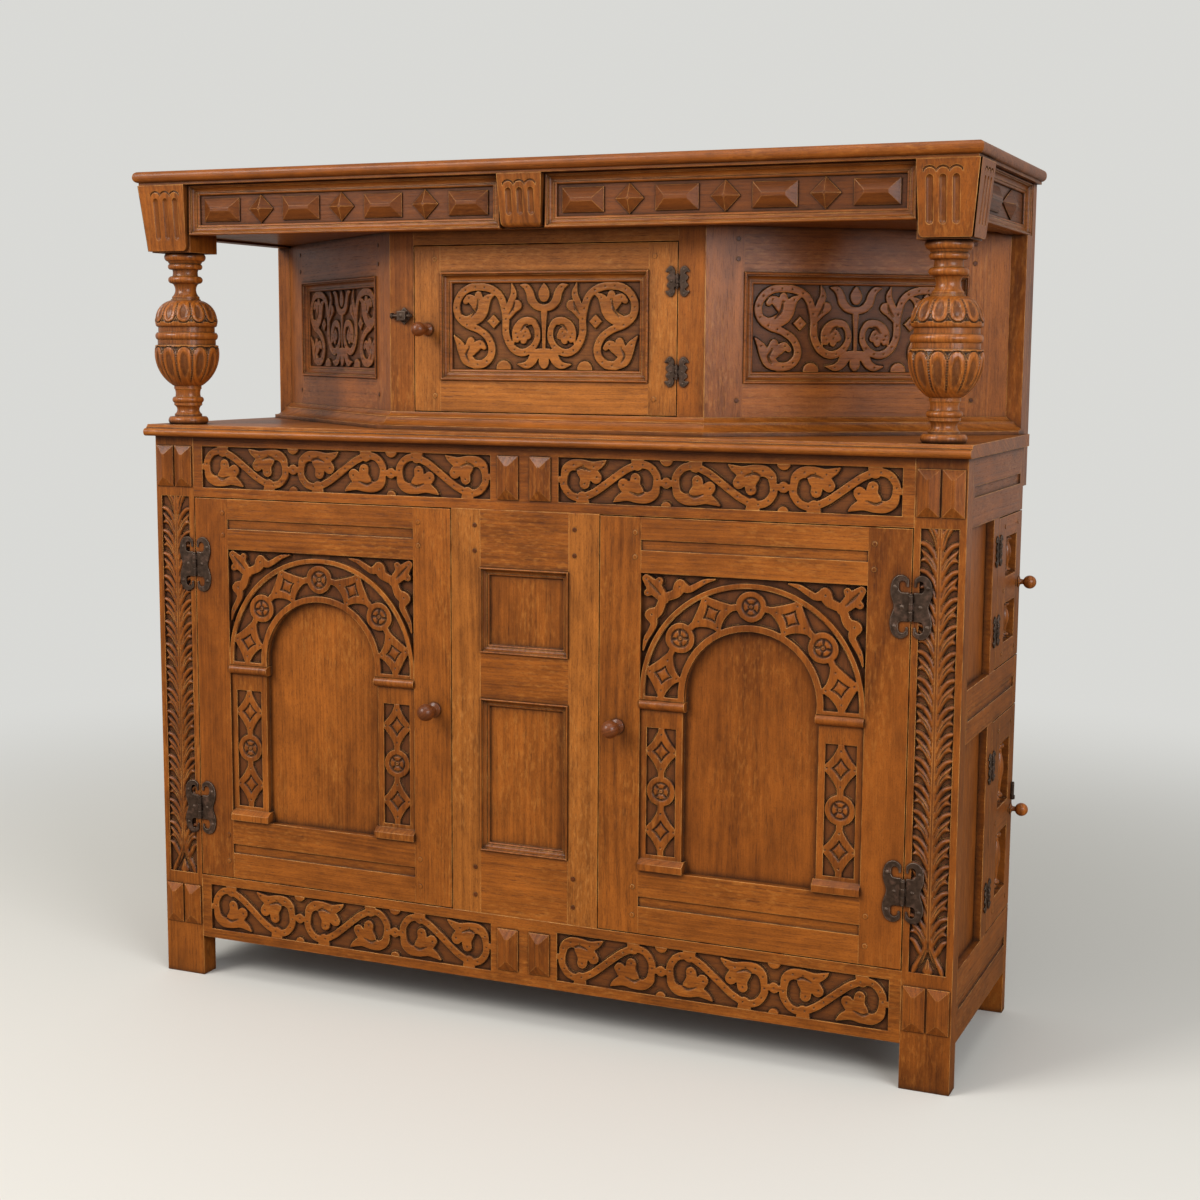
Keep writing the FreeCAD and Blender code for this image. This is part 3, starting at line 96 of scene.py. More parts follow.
setCamera()
for name, spot, target, size, watts, colour in lamps:
    data = bpy.data.lights.new(name, "AREA")
    data.shape = "RECTANGLE"
    data.size, data.size_y = size
    data.energy, data.color = watts, colour
    lamp = bpy.data.objects.new(name, data)
    lamp.location = spot
    lamp.rotation_euler = (Vector(target) - Vector(spot)).to_track_quat("-Z", "Y").to_euler()
    link(lamp)
print("camera and lamps set")


def tint(*shade):
    # a shade as a paint chart gives it, 0 to 255, turned into light
    parts = [value / 255 for value in shade]
    return (*[p / 12.92 if p <= 0.04045 else ((p + 0.055) / 1.055) ** 2.4 for p in parts], 1)


class Board:
    # a node tree under construction, with short calls for the nodes used most
    def __init__(self, tree):
        self.tree = tree

    def add(self, kind, sockets=None, **settings):
        # sockets holds a value or a wire for each input that it names
        node = self.tree.nodes.new(kind)
        for name, value in settings.items():
            setattr(node, name, value)
        for label, value in (sockets or {}).items():
            self.feed(node.inputs[label], value)
        return node

    def wire(self, source, target):
        self.tree.links.new(source, target)

    def feed(self, socket, value):
        if isinstance(value, bpy.types.NodeSocket):
            self.wire(value, socket)
        else:
            socket.default_value = value

    def maths(self, operation, *values):
        return self.add("ShaderNodeMath", dict(enumerate(values)), operation=operation).outputs[0]

    def times(self, value, *others):
        for other in others:
            value = self.maths("MULTIPLY", value, other)
        return value

    def plus(self, value, *others):
        for other in others:
            value = self.maths("ADD", value, other)
        return value

    def minus(self, value, other):
        return self.maths("SUBTRACT", value, other)

    def spread(self, value, low, high, start=0.0, end=1.0, **settings):
        sockets = dict(enumerate((value, low, high, start, end)))
        return self.add("ShaderNodeMapRange", sockets, **settings).outputs[0]

    def mix(self, share, one, other):
        sockets = {"Factor": share, 6: one, 7: other}
        return self.add("ShaderNodeMix", sockets, data_type="RGBA").outputs[2]

    def noise(self, vector, size, detail=3.0, rough=0.55, stretch=(1, 1, 1)):
        # size is the width of a patch in metres
        mapping = self.add("ShaderNodeMapping", {"Vector": vector, "Scale": stretch})
        sockets = {"Vector": mapping.outputs[0], "Scale": 1 / size, "Detail": detail,
                   "Roughness": rough}
        return self.add("ShaderNodeTexNoise", sockets).outputs["Fac"]

    def where(self):
        return self.add("ShaderNodeTexCoord").outputs["Object"]

    def seen(self):
        # 1 where the eye looks, straight or through glass
        path = self.add("ShaderNodeLightPath").outputs
        return self.maths("MAXIMUM", path["Is Camera Ray"], path["Is Transmission Ray"])


world = bpy.data.worlds.new("room")
bpy.context.scene.world = world
world.use_nodes = True
sockets = world.node_tree.nodes["Background"].inputs
sockets["Color"].default_value = room["colour"]
b = Board(world.node_tree)
b.wire(b.spread(b.seen(), 0.0, 1.0, room["light"], room["seen"]), sockets["Strength"])
bpy.context.scene.view_settings.view_transform = "Standard"
print("room set")


# finishes
def newGroup(name, takes, gives):
    # takes and gives are words like Light:Color, one for each socket
    tree = bpy.data.node_groups.new(name, "ShaderNodeTree")
    for side, words in (("INPUT", takes), ("OUTPUT", gives)):
        for label, kind in [word.split(":") for word in words.split()]:
            tree.interface.new_socket(label, in_out=side, socket_type="NodeSocket" + kind)
    b = Board(tree)
    return tree, b, b.add("NodeGroupInput").outputs, b.add("NodeGroupOutput").inputs


def newMaterial(name):
    material = bpy.data.materials.new(name)
    material.use_nodes = True
    b = Board(material.node_tree)
    return material, b, material.node_tree.nodes["Principled BSDF"]


oakFigure = {
    # width in metres, detail, roughness and stretch of each pattern
    "drift": (0.13, 2.0, 0.5, (0.14, 1, 1)), "fibre": (0.0018, 3.0, 0.65, (0.03, 1, 1)),
    "pore": (0.0011, 2.0, 0.5, (0.06, 1, 1)), "patch": (0.16, 2.0, 0.5, (0.5, 1, 1)),
    "line": (0.0042, 2.0, 0.5, (0.3, 1, 1)), "zone": (0.09, 1.0, 0.5, (0.5, 1, 1)),
    "mottle": (0.024, 4.0, 0.62, (0.4, 1, 1)), "speck": (0.0009, 2.0, 0.6, (0.3, 1, 1)),
}
# how much of a pattern shows: none up to the first number, all from the second on
oakShows = {
    "pore": (0.57, 0.66), "line": (0.5, 0.72), "zone": (0.42, 0.62), "speck": (0.52, 0.74, 0, 0.5),
}
oakTone = {
    "bend": 0.034, "ringScale": 230.0, "rings": (0.32, 0.68), "poreInRing": (0.75, 0.2, 0.35, 1.0),
    "middle": 0.54, "fibre": 0.5, "mottle": 1.0, "patch": 0.95, "range": (0.05, 0.95),
    "poreDark": 0.55, "pore": (72, 36, 14), "speck": (70, 36, 14),
}


def makeOakFigure():
    # growth rings, fibres, pores and ray flecks; the grain runs along the vector's x
    tree, b, source, sink = newGroup(
        "oakFigure", "Vector:Vector Light:Color Dark:Color Ray:Color Rays:Float Rings:Float",
        "Color:Color Roughness:Float Height:Float",
    )
    vector = source["Vector"]
    found = {name: b.noise(vector, *values) for name, values in oakFigure.items()}
    for name, shows in oakShows.items():
        found[name] = b.spread(found[name], *shows)
    parts = b.add("ShaderNodeSeparateXYZ", {0: vector}).outputs
    radius = b.maths("SQRT", b.plus(b.times(parts[1], parts[1]), b.times(parts[2], parts[2])))
    bent = b.maths("MULTIPLY_ADD", found["drift"], oakTone["bend"], radius)
    sockets = {"W": b.times(bent, oakTone["ringScale"]), "Scale": 1.0, "Detail": 3.0}
    ring = b.add("ShaderNodeTexNoise", sockets, noise_dimensions="1D")
    rings = b.spread(ring.outputs["Fac"], *oakTone["rings"])
    pores = b.times(found["pore"], b.spread(rings, *oakTone["poreInRing"]))
    # soft light flecks of the rays, in patches
    rays = b.times(found["line"], found["zone"], source["Rays"])
    tone = b.plus(b.times(b.minus(rings, 0.5), source["Rings"]), oakTone["middle"])
    for name in ("fibre", "mottle", "patch"):
        tone = b.plus(tone, b.times(b.minus(found[name], 0.5), oakTone[name]))
    colour = b.mix(b.spread(tone, *oakTone["range"]), source["Dark"], source["Light"])
    colour = b.mix(b.times(pores, oakTone["poreDark"]), colour, tint(*oakTone["pore"]))
    colour = b.mix(rays, colour, source["Ray"])
    b.wire(b.mix(found["speck"], colour, tint(*oakTone["speck"])), sink["Color"])
    fibre = found["fibre"]
    rough = b.plus(b.times(fibre, 0.16), b.times(pores, 0.14), b.times(found["patch"], 0.1), 0.25)
    b.wire(b.minus(rough, b.times(rays, 0.08)), sink["Roughness"])
    height = b.minus(b.times(fibre, 0.5), b.times(pores, 0.6))
    b.wire(b.plus(height, b.times(rings, 0.25)), sink["Height"])
    return tree


# the look of the worn edges with their painted highlight, and of the grime and painted shade in
# corners and recesses
wearAndPaintedLightLook = {
    "bevel": 0.0017, "edge": (0.985, 0.92), "edgePatches": (0.34, 0.6), "wide": 6.0,
    "corner": (0.5, 0.94, 1.0, 0.0), "shade": (0.4, 0.98, 0.75, 0.0),
    "darkPatches": (0.3, 0.7, 0.6, 1.0),
}


def makeWearAndPaintedLight():
    # worn edges, lighter also as a painted highlight, and grime with painted shade in the corners
    # and recesses
    tree, b, source, sink = newGroup(
        "wear_and_painted_light", "Color:Color Edge:Color Grime:Color Wear:Float Dirt:Float Reach:Float",
        "Color:Color Worn:Float Normal:Vector",
    )
    look = wearAndPaintedLightLook
    bevel = b.add("ShaderNodeBevel", {"Radius": look["bevel"]}, samples=6).outputs[0]
    normal = b.add("ShaderNodeNewGeometry").outputs["Normal"]
    dot = b.add("ShaderNodeVectorMath", {0: bevel, 1: normal}, operation="DOT_PRODUCT")
    place = b.where()
    # painted shade: a thin dark line in each corner, partly grime, and a wide soft painted shade
    # around it
    reach = source["Reach"]
    near = b.add("ShaderNodeAmbientOcclusion", {"Distance": reach}, samples=5)
    sockets = {"Distance": b.times(reach, look["wide"])}
    wide = b.add("ShaderNodeAmbientOcclusion", sockets, samples=4)
    corner = b.spread(near.outputs["AO"], *look["corner"])
    # the edges are lightened as wear and also as a painted highlight
    edge = b.spread(dot.outputs["Value"], *look["edge"])
    edgePatches = b.spread(b.noise(place, 0.03), *look["edgePatches"])
    edge = b.times(edge, edgePatches, b.minus(1.0, corner), source["Wear"])
    darkPatches = b.spread(b.noise(place, 0.05), *look["darkPatches"])
    grimeAndShade = b.times(corner, darkPatches, source["Dirt"])
    shade = b.times(b.spread(wide.outputs["AO"], *look["shade"]), darkPatches, source["Dirt"])
    colour = b.mix(shade, source["Color"], b.mix(0.8, source["Color"], source["Grime"]))
    colour = b.mix(edge, colour, source["Edge"])
    b.wire(b.mix(grimeAndShade, colour, source["Grime"]), sink["Color"])
    b.wire(b.minus(b.times(grimeAndShade, 0.25), b.times(edge, 0.08)), sink["Worn"])
    b.wire(bevel, sink["Normal"])
    return tree


figureTree, wearAndPaintedLightTree = makeOakFigure(), makeWearAndPaintedLight()


def finishOff(b, shader, colour, height, strength, distance, wearAndPaintedLight):
    # the worn edges with their painted highlight and the grime with its painted shade over the
    # colour, and the bump over the rounded edges; gives the change of roughness
    sockets = {"Color": colour, **wearAndPaintedLight}
    worn = b.add("ShaderNodeGroup", sockets, node_tree=wearAndPaintedLightTree).outputs
    sockets = {"Strength": strength, "Distance": distance, "Height": height,
               "Normal": worn["Normal"]}
    b.wire(worn["Color"], shader.inputs["Base Color"])
    b.wire(b.add("ShaderNodeBump", sockets).outputs[0], shader.inputs["Normal"])
    return worn["Worn"]


# turns that carry the grain's direction onto x
turns = {
    "X": (0, 0, 0), "Y": (0, 0, -90), "Z": (0, 90, 0), "right": (0, 0, -38.85),
    "left": (0, 0, 38.85),
}
carvedGround = {"scale": 620, "dark": (26, 13, 6), "light": (78, 44, 22), "rough": 0.3}
# the oak's worn edge colour, also a painted highlight; its grime colour, also painted shade; how
# far the corner shade reaches
oakWearAndPaintedLight = {"Edge": tint(222, 158, 84), "Grime": tint(44, 24, 12), "Reach": 0.009}


def oakFinish(name, way, seed, shades, rays=0.38, rings=0.24, wear=1.0, dirt=1.0,
              coat=(0.12, 0.2), ground=False):
    # seed moves to another part of the tree; shades are the light and dark wood and the rays
    material, b, shader = newMaterial(name)
    place = b.where()
    turn = [math.radians(value) for value in turns[way]]
    mapping = b.add("ShaderNodeMapping", {"Vector": place, "Rotation": turn, "Location": seed})
    light, dark, ray = [tint(*shade) for shade in shades]
    sockets = {"Vector": mapping.outputs[0], "Light": light, "Dark": dark, "Ray": ray,
               "Rays": rays, "Rings": rings}
    figure = b.add("ShaderNodeGroup", sockets, node_tree=figureTree).outputs
    colour, height = figure["Color"], figure["Height"]
    # the ground's darkness is stain and, at the foot of the walls and in the cuts, painted shade
    if ground:  # punched and stained ground of the carving
        mask = b.add("ShaderNodeAttribute", attribute_name="ground").outputs["Fac"]
        sockets = {"Vector": place, "Scale": carvedGround["scale"]}
        punch = b.add("ShaderNodeTexVoronoi", sockets).outputs["Distance"]
        dots = b.times(b.spread(punch, 0.1, 0.5), b.spread(mask, 0.66, 0.98, 1.0, 0.0))
        stainAndShade = b.mix(dots, tint(*carvedGround["dark"]), tint(*carvedGround["light"]))
        colour = b.mix(b.times(mask, 0.96), colour, stainAndShade)
        height = b.plus(height, b.times(dots, mask, 1.6))
    # the wear amount lightens the edges as wear and painted highlight, the dirt amount darkens
    # corners and recesses with grime and painted shade
    wearAndPaintedLight = {**oakWearAndPaintedLight, "Wear": wear, "Dirt": dirt}
    worn = finishOff(b, shader, colour, height, 0.35, 0.0006, wearAndPaintedLight)
    rough = b.plus(figure["Roughness"], worn)
    if ground:
        rough = b.plus(rough, b.times(mask, carvedGround["rough"]))
    b.wire(rough, shader.inputs["Roughness"])
    shader.inputs["Specular IOR Level"].default_value = 0.22
    for label, value in zip(("Coat Weight", "Coat Roughness"), coat):
        shader.inputs[label].default_value = value
    return material


tones = (
    ((178, 101, 34), (92, 46, 13), (200, 130, 58)),
    ((168, 93, 30), (86, 42, 12), (190, 120, 52)),
    # the lightest tone, used on the upper door, is partly painted light, the brightness the light
    # gives it there
    ((192, 116, 46), (106, 57, 19), (214, 146, 76)),
    # the darkest tone, used on the frieze boards and bosses, is partly painted shade of the
    # recessed frieze
    ((134, 72, 25), (72, 35, 11), (160, 94, 42)),
)
made = {}


def oak(way, tone=0, seed=0, ground=False):
    key = (way, tone, seed, ground)
    if key not in made:
        name = f"oak_{way}_{tone}_{seed}" + ("_carved" if ground else "")
        offset = (0.37 * seed, 0.29 + 0.083 * seed, 0.17 + 0.061 * seed)
        made[key] = oakFinish(name, way, offset, tones[tone], ground=ground)
    return made[key]


iron, b, shader = newMaterial("wrought_iron")
place = b.where()
scale = b.noise(place, 0.006, 4.0, 0.6)
rust = b.spread(b.noise(place, 0.012, 4.0, 0.65), 0.52, 0.68)
colour = b.mix(scale, tint(40, 30, 25), tint(98, 78, 64))
colour = b.mix(b.times(rust, 0.55), colour, tint(92, 58, 40))
# the iron too gets worn edges with a painted highlight, and grime with painted shade in its corners
wearAndPaintedLight = {"Edge": tint(158, 138, 122), "Grime": tint(24, 20, 18), "Wear": 0.7, "Dirt": 0.5,
           "Reach": 0.002}
finishOff(b, shader, colour, scale, 0.5, 0.0008, wearAndPaintedLight)
b.wire(b.spread(scale, 0.2, 0.8, 0.42, 0.62), shader.inputs["Roughness"])
b.wire(b.spread(rust, 0.0, 1.0, 0.75, 0.2), shader.inputs["Metallic"])
knobWood = oakFinish("knob_wood", "Y", (0.2, 0.31, 0.12),
                     ((136, 74, 34), (86, 42, 18), (136, 74, 34)),
                     rays=0.1, rings=0.3, wear=0.35, dirt=0.7, coat=(0.35, 0.22))
turnedOak, carvedTurning = [
    oakFinish(name, "Z", (0.4, 0.02, 0.015), ((190, 108, 40), (92, 47, 14), (212, 138, 66)),
              rays=0.25, rings=0.4, coat=(0.35, 0.2), ground=ground)
    for name, ground in (("turned_oak", False), ("turned_oak_carved", True))
]
pegWood = oakFinish("oak_pegs", "Y", (0.1, 0.2, 0.3), ((112, 56, 22), (64, 30, 11), (120, 64, 28)),
                    rays=0, rings=0.3, wear=0.2, dirt=0.9)
plainOak, plainOakAcross = [
    oakFinish(name, way, (0.6, 0.4, 0.2), ((152, 94, 48), (96, 55, 25), (172, 116, 66)),
              rays=0.2, rings=0.6, wear=0.2, dirt=0.7)
    for name, way in (("plain_oak", "Z"), ("plain_oak_across", "X"))
]
print("finishes made")

# where the joiner's parts meet, in millimetres on the case
seams = {
    "sideDoorRails": (267.5, 344), "upperDoorStile": 169, "upperMiddle": 1050,
    "doorRails": (185, 517), "doorMiddle": 450, "doorLockStile": 300, "centreStile": 72,
    "centreLevels": (450, 650), "sideStile": (178, 213), "sideBays": ((169, 487), (562, 783)),
    "sideMiddle": 400, "upperStile": 214, "cantedRails": (300, 573), "friezeFront": 20.5,
    "backLevels": ((-1, 135), (808, 966), (1195, 1300)), "backStile": 600, "panelMiddle": 530,
    "postSide": 60,
}
uprightParts = (
    "right_front_post left_front_post back_posts upper_posts side_panels left_door_panel "
    "right_door_panel brackets corner_blocks"
).split()


def within(value, *ranges):
    return any(low < value < high for low, high in ranges)


def grainOf(name, x, y, z):
    # direction of the grain, tone and place in the tree for a face, by where the face is
    s = seams
    side = x > 0
    reach = abs(x)
    if name.endswith("side_door_frame"):
        return ("Y", 1, 3) if within(y, s["sideDoorRails"]) else ("Z", 1, 4)
    if name == "upper_door_frame":
        # the upper door takes the lightest tone, partly painted light
        rail = reach < s["upperDoorStile"]
        return ("X", 2, 1 + (z > s["upperMiddle"])) if rail else ("Z", 2, 2 + side)
    if name.endswith("door_frame"):
        if within(reach, s["doorRails"]):
            return "X", 0, 5 + (z > s["doorMiddle"]) + side
        hung = reach > s["doorLockStile"]
        return "Z", int(hung), 6 + hung
    if name == "centre_frame":
        if reach < s["centreStile"]:
            return "X", 0, 8 + sum(z > level for level in s["centreLevels"])
        return "Z", 2, 9 + side
    if name.endswith("side_frame"):
        upright = within(y, s["sideStile"]) and within(z, *s["sideBays"])
        return ("Z", 1, 2) if upright else ("Y", 1, 4 + (z > s["sideMiddle"]))
    if name == "upper_front_frame":
        return ("X", 2, 3) if reach < s["upperStile"] else ("Z", 0, 4 + side)
    if name == "canted_frames":
        if within(reach, s["cantedRails"]):
            return sides[not side][1], 0, 5 + (z > s["upperMiddle"])
        return "Z", 0, 6 + side
    if name in ("frieze_boards", "frieze_mouldings", "frieze_bosses"):
        # the frieze boards and bosses take the darkest tone, partly painted shade
        tone = 0 if name == "frieze_mouldings" else 3
        return ("X", tone, 7) if y < s["friezeFront"] else ("Y", tone, 8)
    if name == "post_bosses":
        return "Z", 1, 2
    if name == "canted_panels":
        return sides[not side][1], 1, 9
    if name in ("back_frame", "upper_back_frame"):
        rail = within(z, *s["backLevels"]) and reach < s["backStile"]
        return ("X", 1, 5) if rail else ("Z", 1, 6)
    if name == "centre_panels":
        return "Z", 0, 5 + (z > s["panelMiddle"])
    if name in uprightParts:
        side = side and reach > s["postSide"]
        return "Z", int(side), 3 + side + 2 * (name[0] in "br")
    return "X", int("top" in name), len(name) % 6


def dress(name, node):
    # gives each face of a part its oak, the grain lying as the joiner laid it
    mesh = node.data
    slots, chosen = [], []
    for face in mesh.polygons:
        x, y, z = face.center * 1000
        material = oak(*grainOf(name, x, y + depthShift, z))
        if material not in slots:
            slots.append(material)
        chosen.append(slots.index(material))
    mesh.materials.clear()
    for material in slots:
        mesh.materials.append(material)
    mesh.polygons.foreach_set("material_index", chosen)


# parts of one finish all over, by the words in their names
plainParts = {
    "hinge iron bolt turn_catch": iron, "knob": knobWood, "turnings baluster": turnedOak,
    "oak_pegs": pegWood, "back_boards": plainOak, "inner_boards soffit_board": plainOakAcross,
}
for name, node in nodes.items():
    plain = [finish for words, finish in plainParts.items()
             if any(word in name for word in words.split())]
    if plain:
        node.data.materials.clear()
        node.data.materials.append(plain[0])
    else:
        dress(name, node)
print("joined parts dressed")


# carving
farOff = 30.0  # stands for well away from any edge, in millimetres
carving = {
    # in cells: which points move onto an edge, and how far they may move
    "near": 0.52, "most": 0.6,
    "groove": 2, "side": (0.6, 1.5), "top": 0.2,  # how deep, soft and far in a gouge cut goes
    "back": -0.12,  # the flat back lies a hair under the ground
    "sharp": 32,
    # how dark the ground is, as stain and painted shade: on the ground, added at its walls and how
    # far that reaches; down the walls; in the cuts
    "groundStainAndShade": (0.62, 0.38, 1.6), "wallStainAndShade": 3, "cutStainAndShade": 0.95,
}


def smoothLine(points, steps=7):
    # a curve through (u, v, radius) points
    if len(points) < 3:
        return points
    row = [points[0]] + list(points) + [points[-1]]
    line = []
    for spots in zip(row, row[1:], row[2:], row[3:]):
        for step in range(steps):
            t = step / steps
            line.append(tuple(
                0.5 * (2 * q + (r - p) * t + (2 * p - 5 * q + 4 * r - s) * t * t
                       + (3 * q - p - 3 * r + s) * t ** 3)
                for p, q, r, s in zip(*spots)
            ))
    return line + [points[-1]]


class Relief:
    # raised work on a sunk ground, u across and v up in millimetres
    def __init__(self, width, height, cell=1.1):
        self.width, self.height, self.cell = width, height, cell
        self.u = np.linspace(0, width, round(width / cell) + 1)
        self.v = np.linspace(0, height, round(height / cell) + 1)
        self.gridU, self.gridV = np.meshgrid(self.u, self.v)
        shape = self.gridU.shape
        self.raised = np.full(shape, -farOff)  # depth inside the raised work
        self.cut = np.full(shape, -farOff)  # depth inside gouge cuts
        self.inside = np.full(shape, farOff)  # depth inside the piece's own outline
        self.lower = np.zeros(shape)  # how far the top is worked down

    def lay(self, value, layer="raised"):
        target = getattr(self, layer)
        np.maximum(target, value, out=target)

    def stroke(self, points, layer="raised", margin=4):
        # a rounded stroke of changing width, worked out only near itself
        target = getattr(self, layer)
        line = smoothLine(points)
        for (u0, v0, r0), (u1, v1, r1) in zip(line[:-1], line[1:]):
            reach = max(r0, r1) + margin
            columns = slice(*np.searchsorted(self.u, (min(u0, u1) - reach, max(u0, u1) + reach)))
            rows = slice(*np.searchsorted(self.v, (min(v0, v1) - reach, max(v0, v1) + reach)))
            us, vs = self.gridU[rows, columns] - u0, self.gridV[rows, columns] - v0
            du, dv = u1 - u0, v1 - v0
            t = np.clip((us * du + vs * dv) / max(du * du + dv * dv, 1e-6), 0, 1)
            value = r0 + (r1 - r0) * t - np.hypot(us - t * du, vs - t * dv)
            target[rows, columns] = np.maximum(target[rows, columns], value)

    def spot(self, u, v, radius, layer="raised"):
        self.stroke([(u, v, radius), (u + 0.01, v, radius)], layer)

    def shape(self, value):
        # any smooth value that is positive inside, turned into a distance
        gv, gu = np.gradient(value, self.v, self.u)
        self.lay(np.clip(value / np.maximum(np.hypot(gu, gv), 1e-4), -farOff, farOff))

    def dots(self, points, pitch=15, radius=0.95, thin=3):
        # little punch marks along the middle of a stem, where it isn't too thin
        line = smoothLine(points)
        gone = pitch / 2
        for a, b in zip(line[:-1], line[1:]):
            gone += math.hypot(b[0] - a[0], b[1] - a[1])
            if gone > pitch and b[2] > thin:
                gone = 0
                self.spot(b[0], b[1], radius, "cut")


def carvedPiece(name, points, faces, ground, sharp, material, body):
    # points are in metres; ground says how dark the stain and painted shade are at each
    mesh = bpy.data.meshes.new(name)
    mesh.from_pydata(points.tolist(), [], faces)
    stainAndShade = mesh.attributes.new("ground", "FLOAT", "POINT")
    stainAndShade.data.foreach_set("value", ground.astype(np.float32))
    mesh.polygons.foreach_set("use_smooth", [True] * len(mesh.polygons))
    mesh.set_sharp_from_angle(angle=math.radians(sharp))
    mesh.materials.append(material)
    piece = bpy.data.objects.new(name, mesh)
    link(piece)
    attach(piece, body)
    return piece


def ontoEdges(relief, wall):
    # moves the points near an edge onto it, which makes the edge a clean line
    us, vs = relief.gridU.copy(), relief.gridV.copy()
    raised, inside = relief.raised.copy(), relief.inside.copy()
    near, most = carving["near"] * relief.cell, carving["most"] * relief.cell
    for field, levels in ((raised, (0.0, -wall)), (inside, (0.0,))):
        gv, gu = np.gradient(field, relief.v, relief.u)
        square = np.maximum(gu * gu + gv * gv, 0.04)
        gu[:, (0, -1)] = 0
        gv[(0, -1), :] = 0
        for level in levels:
            off = field - level
            close = np.abs(off) < near
            us[close] -= np.clip(off * gu / square, -most, most)[close]
            vs[close] -= np.clip(off * gv / square, -most, most)[close]
            field[close] = level
    return us, vs, raised, inside


def rimLoops(quads):
    # the outline of a set of faces: each point with the next one, and the closed loops of them
    edges = np.concatenate([quads[:, (0, 1)], quads[:, (1, 2)], quads[:, (2, 3)], quads[:, (3, 0)]])
    key = np.sort(edges, 1)
    order = np.lexsort((key[:, 1], key[:, 0]))
    pairs = (key[order][:-1] == key[order][1:]).all(1)
    shared = np.append(pairs, False) | np.insert(pairs, 0, False)
    follow = {int(a): int(b) for a, b in edges[order][~shared]}
    loops, left = [], set(follow)
    while left:
        start = vertex = left.pop()
        loop = [start]
        while follow[vertex] != start:
            vertex = follow[vertex]
            left.discard(vertex)
            loop.append(vertex)
        loops.append(loop)
    return follow, loops


def reliefPiece(name, relief, depth, carry, material, body="case", mirrored=False, wall=1.25,
                rounded=(0.22, 1.6)):
    # carry places (u, v, out) in millimetres on the case, out being the height over the ground
    us, vs, raised, inside = ontoEdges(relief, wall)
    standing = raised > -0.01
    rounding = rounded[0] * np.clip(1 - raised / rounded[1], 0, 1) ** 2
    before, soft = carving["side"]
    gouge = np.clip((relief.cut + before) / soft, 0, 1) * (raised > carving["top"])
    out = depth * np.clip(1 + raised / wall, 0, 1) - (rounding + relief.lower) * standing
    out = np.maximum(out - carving["groove"] * gouge, 0)
    index = np.arange(us.size).reshape(us.shape)
    quads = np.stack([index[:-1, :-1], index[:-1, 1:], index[1:, 1:], index[1:, :-1]], -1)
    quads = quads.reshape(-1, 4)
    quads = quads[(inside.ravel()[quads] > -1e-6).all(1)]
    # close the piece: walls along its outline and a flat back
    follow, loops = rimLoops(quads)
    rim = sorted(follow)
    behind = {vertex: us.size + number for number, vertex in enumerate(rim)}
    walls = [(a, behind[a], behind[b], b) for a, b in follow.items()]
    backs = [[behind[vertex] for vertex in reversed(loop)] for loop in loops]
    # the ground is stained, and painted with shade that is darkest at the foot of the walls and in
    # the cuts
    plain, added, fade = carving["groundStainAndShade"]
    ground = plain + added * np.exp((raised + wall) / fade)
    stainAndShade = np.clip(np.where(raised > -0.3, -raised * carving["wallStainAndShade"], ground), 0, 1)
    stainAndShade = np.append(np.maximum(stainAndShade, gouge * carving["cutStainAndShade"]), np.ones(len(rim)))
    us, vs = [np.append(values, values.ravel()[rim]) for values in (us, vs)]
    out = np.append(out, np.full(len(rim), carving["back"]))
    points = np.stack(carry(us, vs, out), -1)
    points[:, 1] -= depthShift
    used = np.zeros(len(points), bool)
    used[quads] = True
    used[index.size:] = True
    number = np.cumsum(used) - 1
    faces = [number[list(face)].tolist() for face in quads.tolist() + walls + backs]
    piece = carvedPiece(name, points[used] / 1000, faces, stainAndShade[used], carving["sharp"], material,
                        body)
    if mirrored:
        piece.data.flip_normals()


def frontPiece(name, relief, depth, material, u0, v0, face, flip=False, **settings):
    # on a front plane: u runs to the right from u0, or to the left for a mirrored piece
    def carry(u, v, out):
        return u0 - u if flip else u0 + u, face - out, v0 + v

    reliefPiece(name, relief, depth, carry, material, mirrored=flip, **settings)


# scrolls of the four long friezes, drawn as one unit that is repeated and turned over
scrollWork = {
    "leaf": [(9, 38, 5), (12, 48, 6.5), (22, 54.5, 7.5), (37, 54, 8.6), (53, 52.5, 7.6),
             (66, 57, 4.6), (74, 62, 0.8)],
    "lobe": [(46, 48, 9), (54, 42, 9.3), (59, 37, 8.4)],
    "curl": [(38, 46, 9), (42, 37, 8), (41, 28, 7.4)],
    "stem": [(9, 38, 5), (8.6, 24, 5.2), (19, 11, 5.2), (35, 8, 5.2), (54, 15, 5.2),
             (68, 24, 5.2), (80.5, 33, 5.2)],
    "slit": [(25, 46, 0.5), (36, 51, 1.7), (50, 47, 0.4)],
    "eyes": [(60, 38, 1.1), (41, 28, 1.1), (101, 28, 1.1), (120, 38, 1.1)],
    "ties": ([(38, 8, 8.5), (38, -4, 11)], [(123, 58, 8.5), (123, 70, 11)]),
    "middle": (80.5, 33), "unit": 161, "pitch": 172.8, "count": 3, "drawnHigh": 65,
    # the knots between the units, and the half rounds over and under the inner ones
    "knot": 7.6, "knotEye": 1, "bar": (14, 4.2), "over": (1.5, 9.5), "under": (-1, 7.5),
}


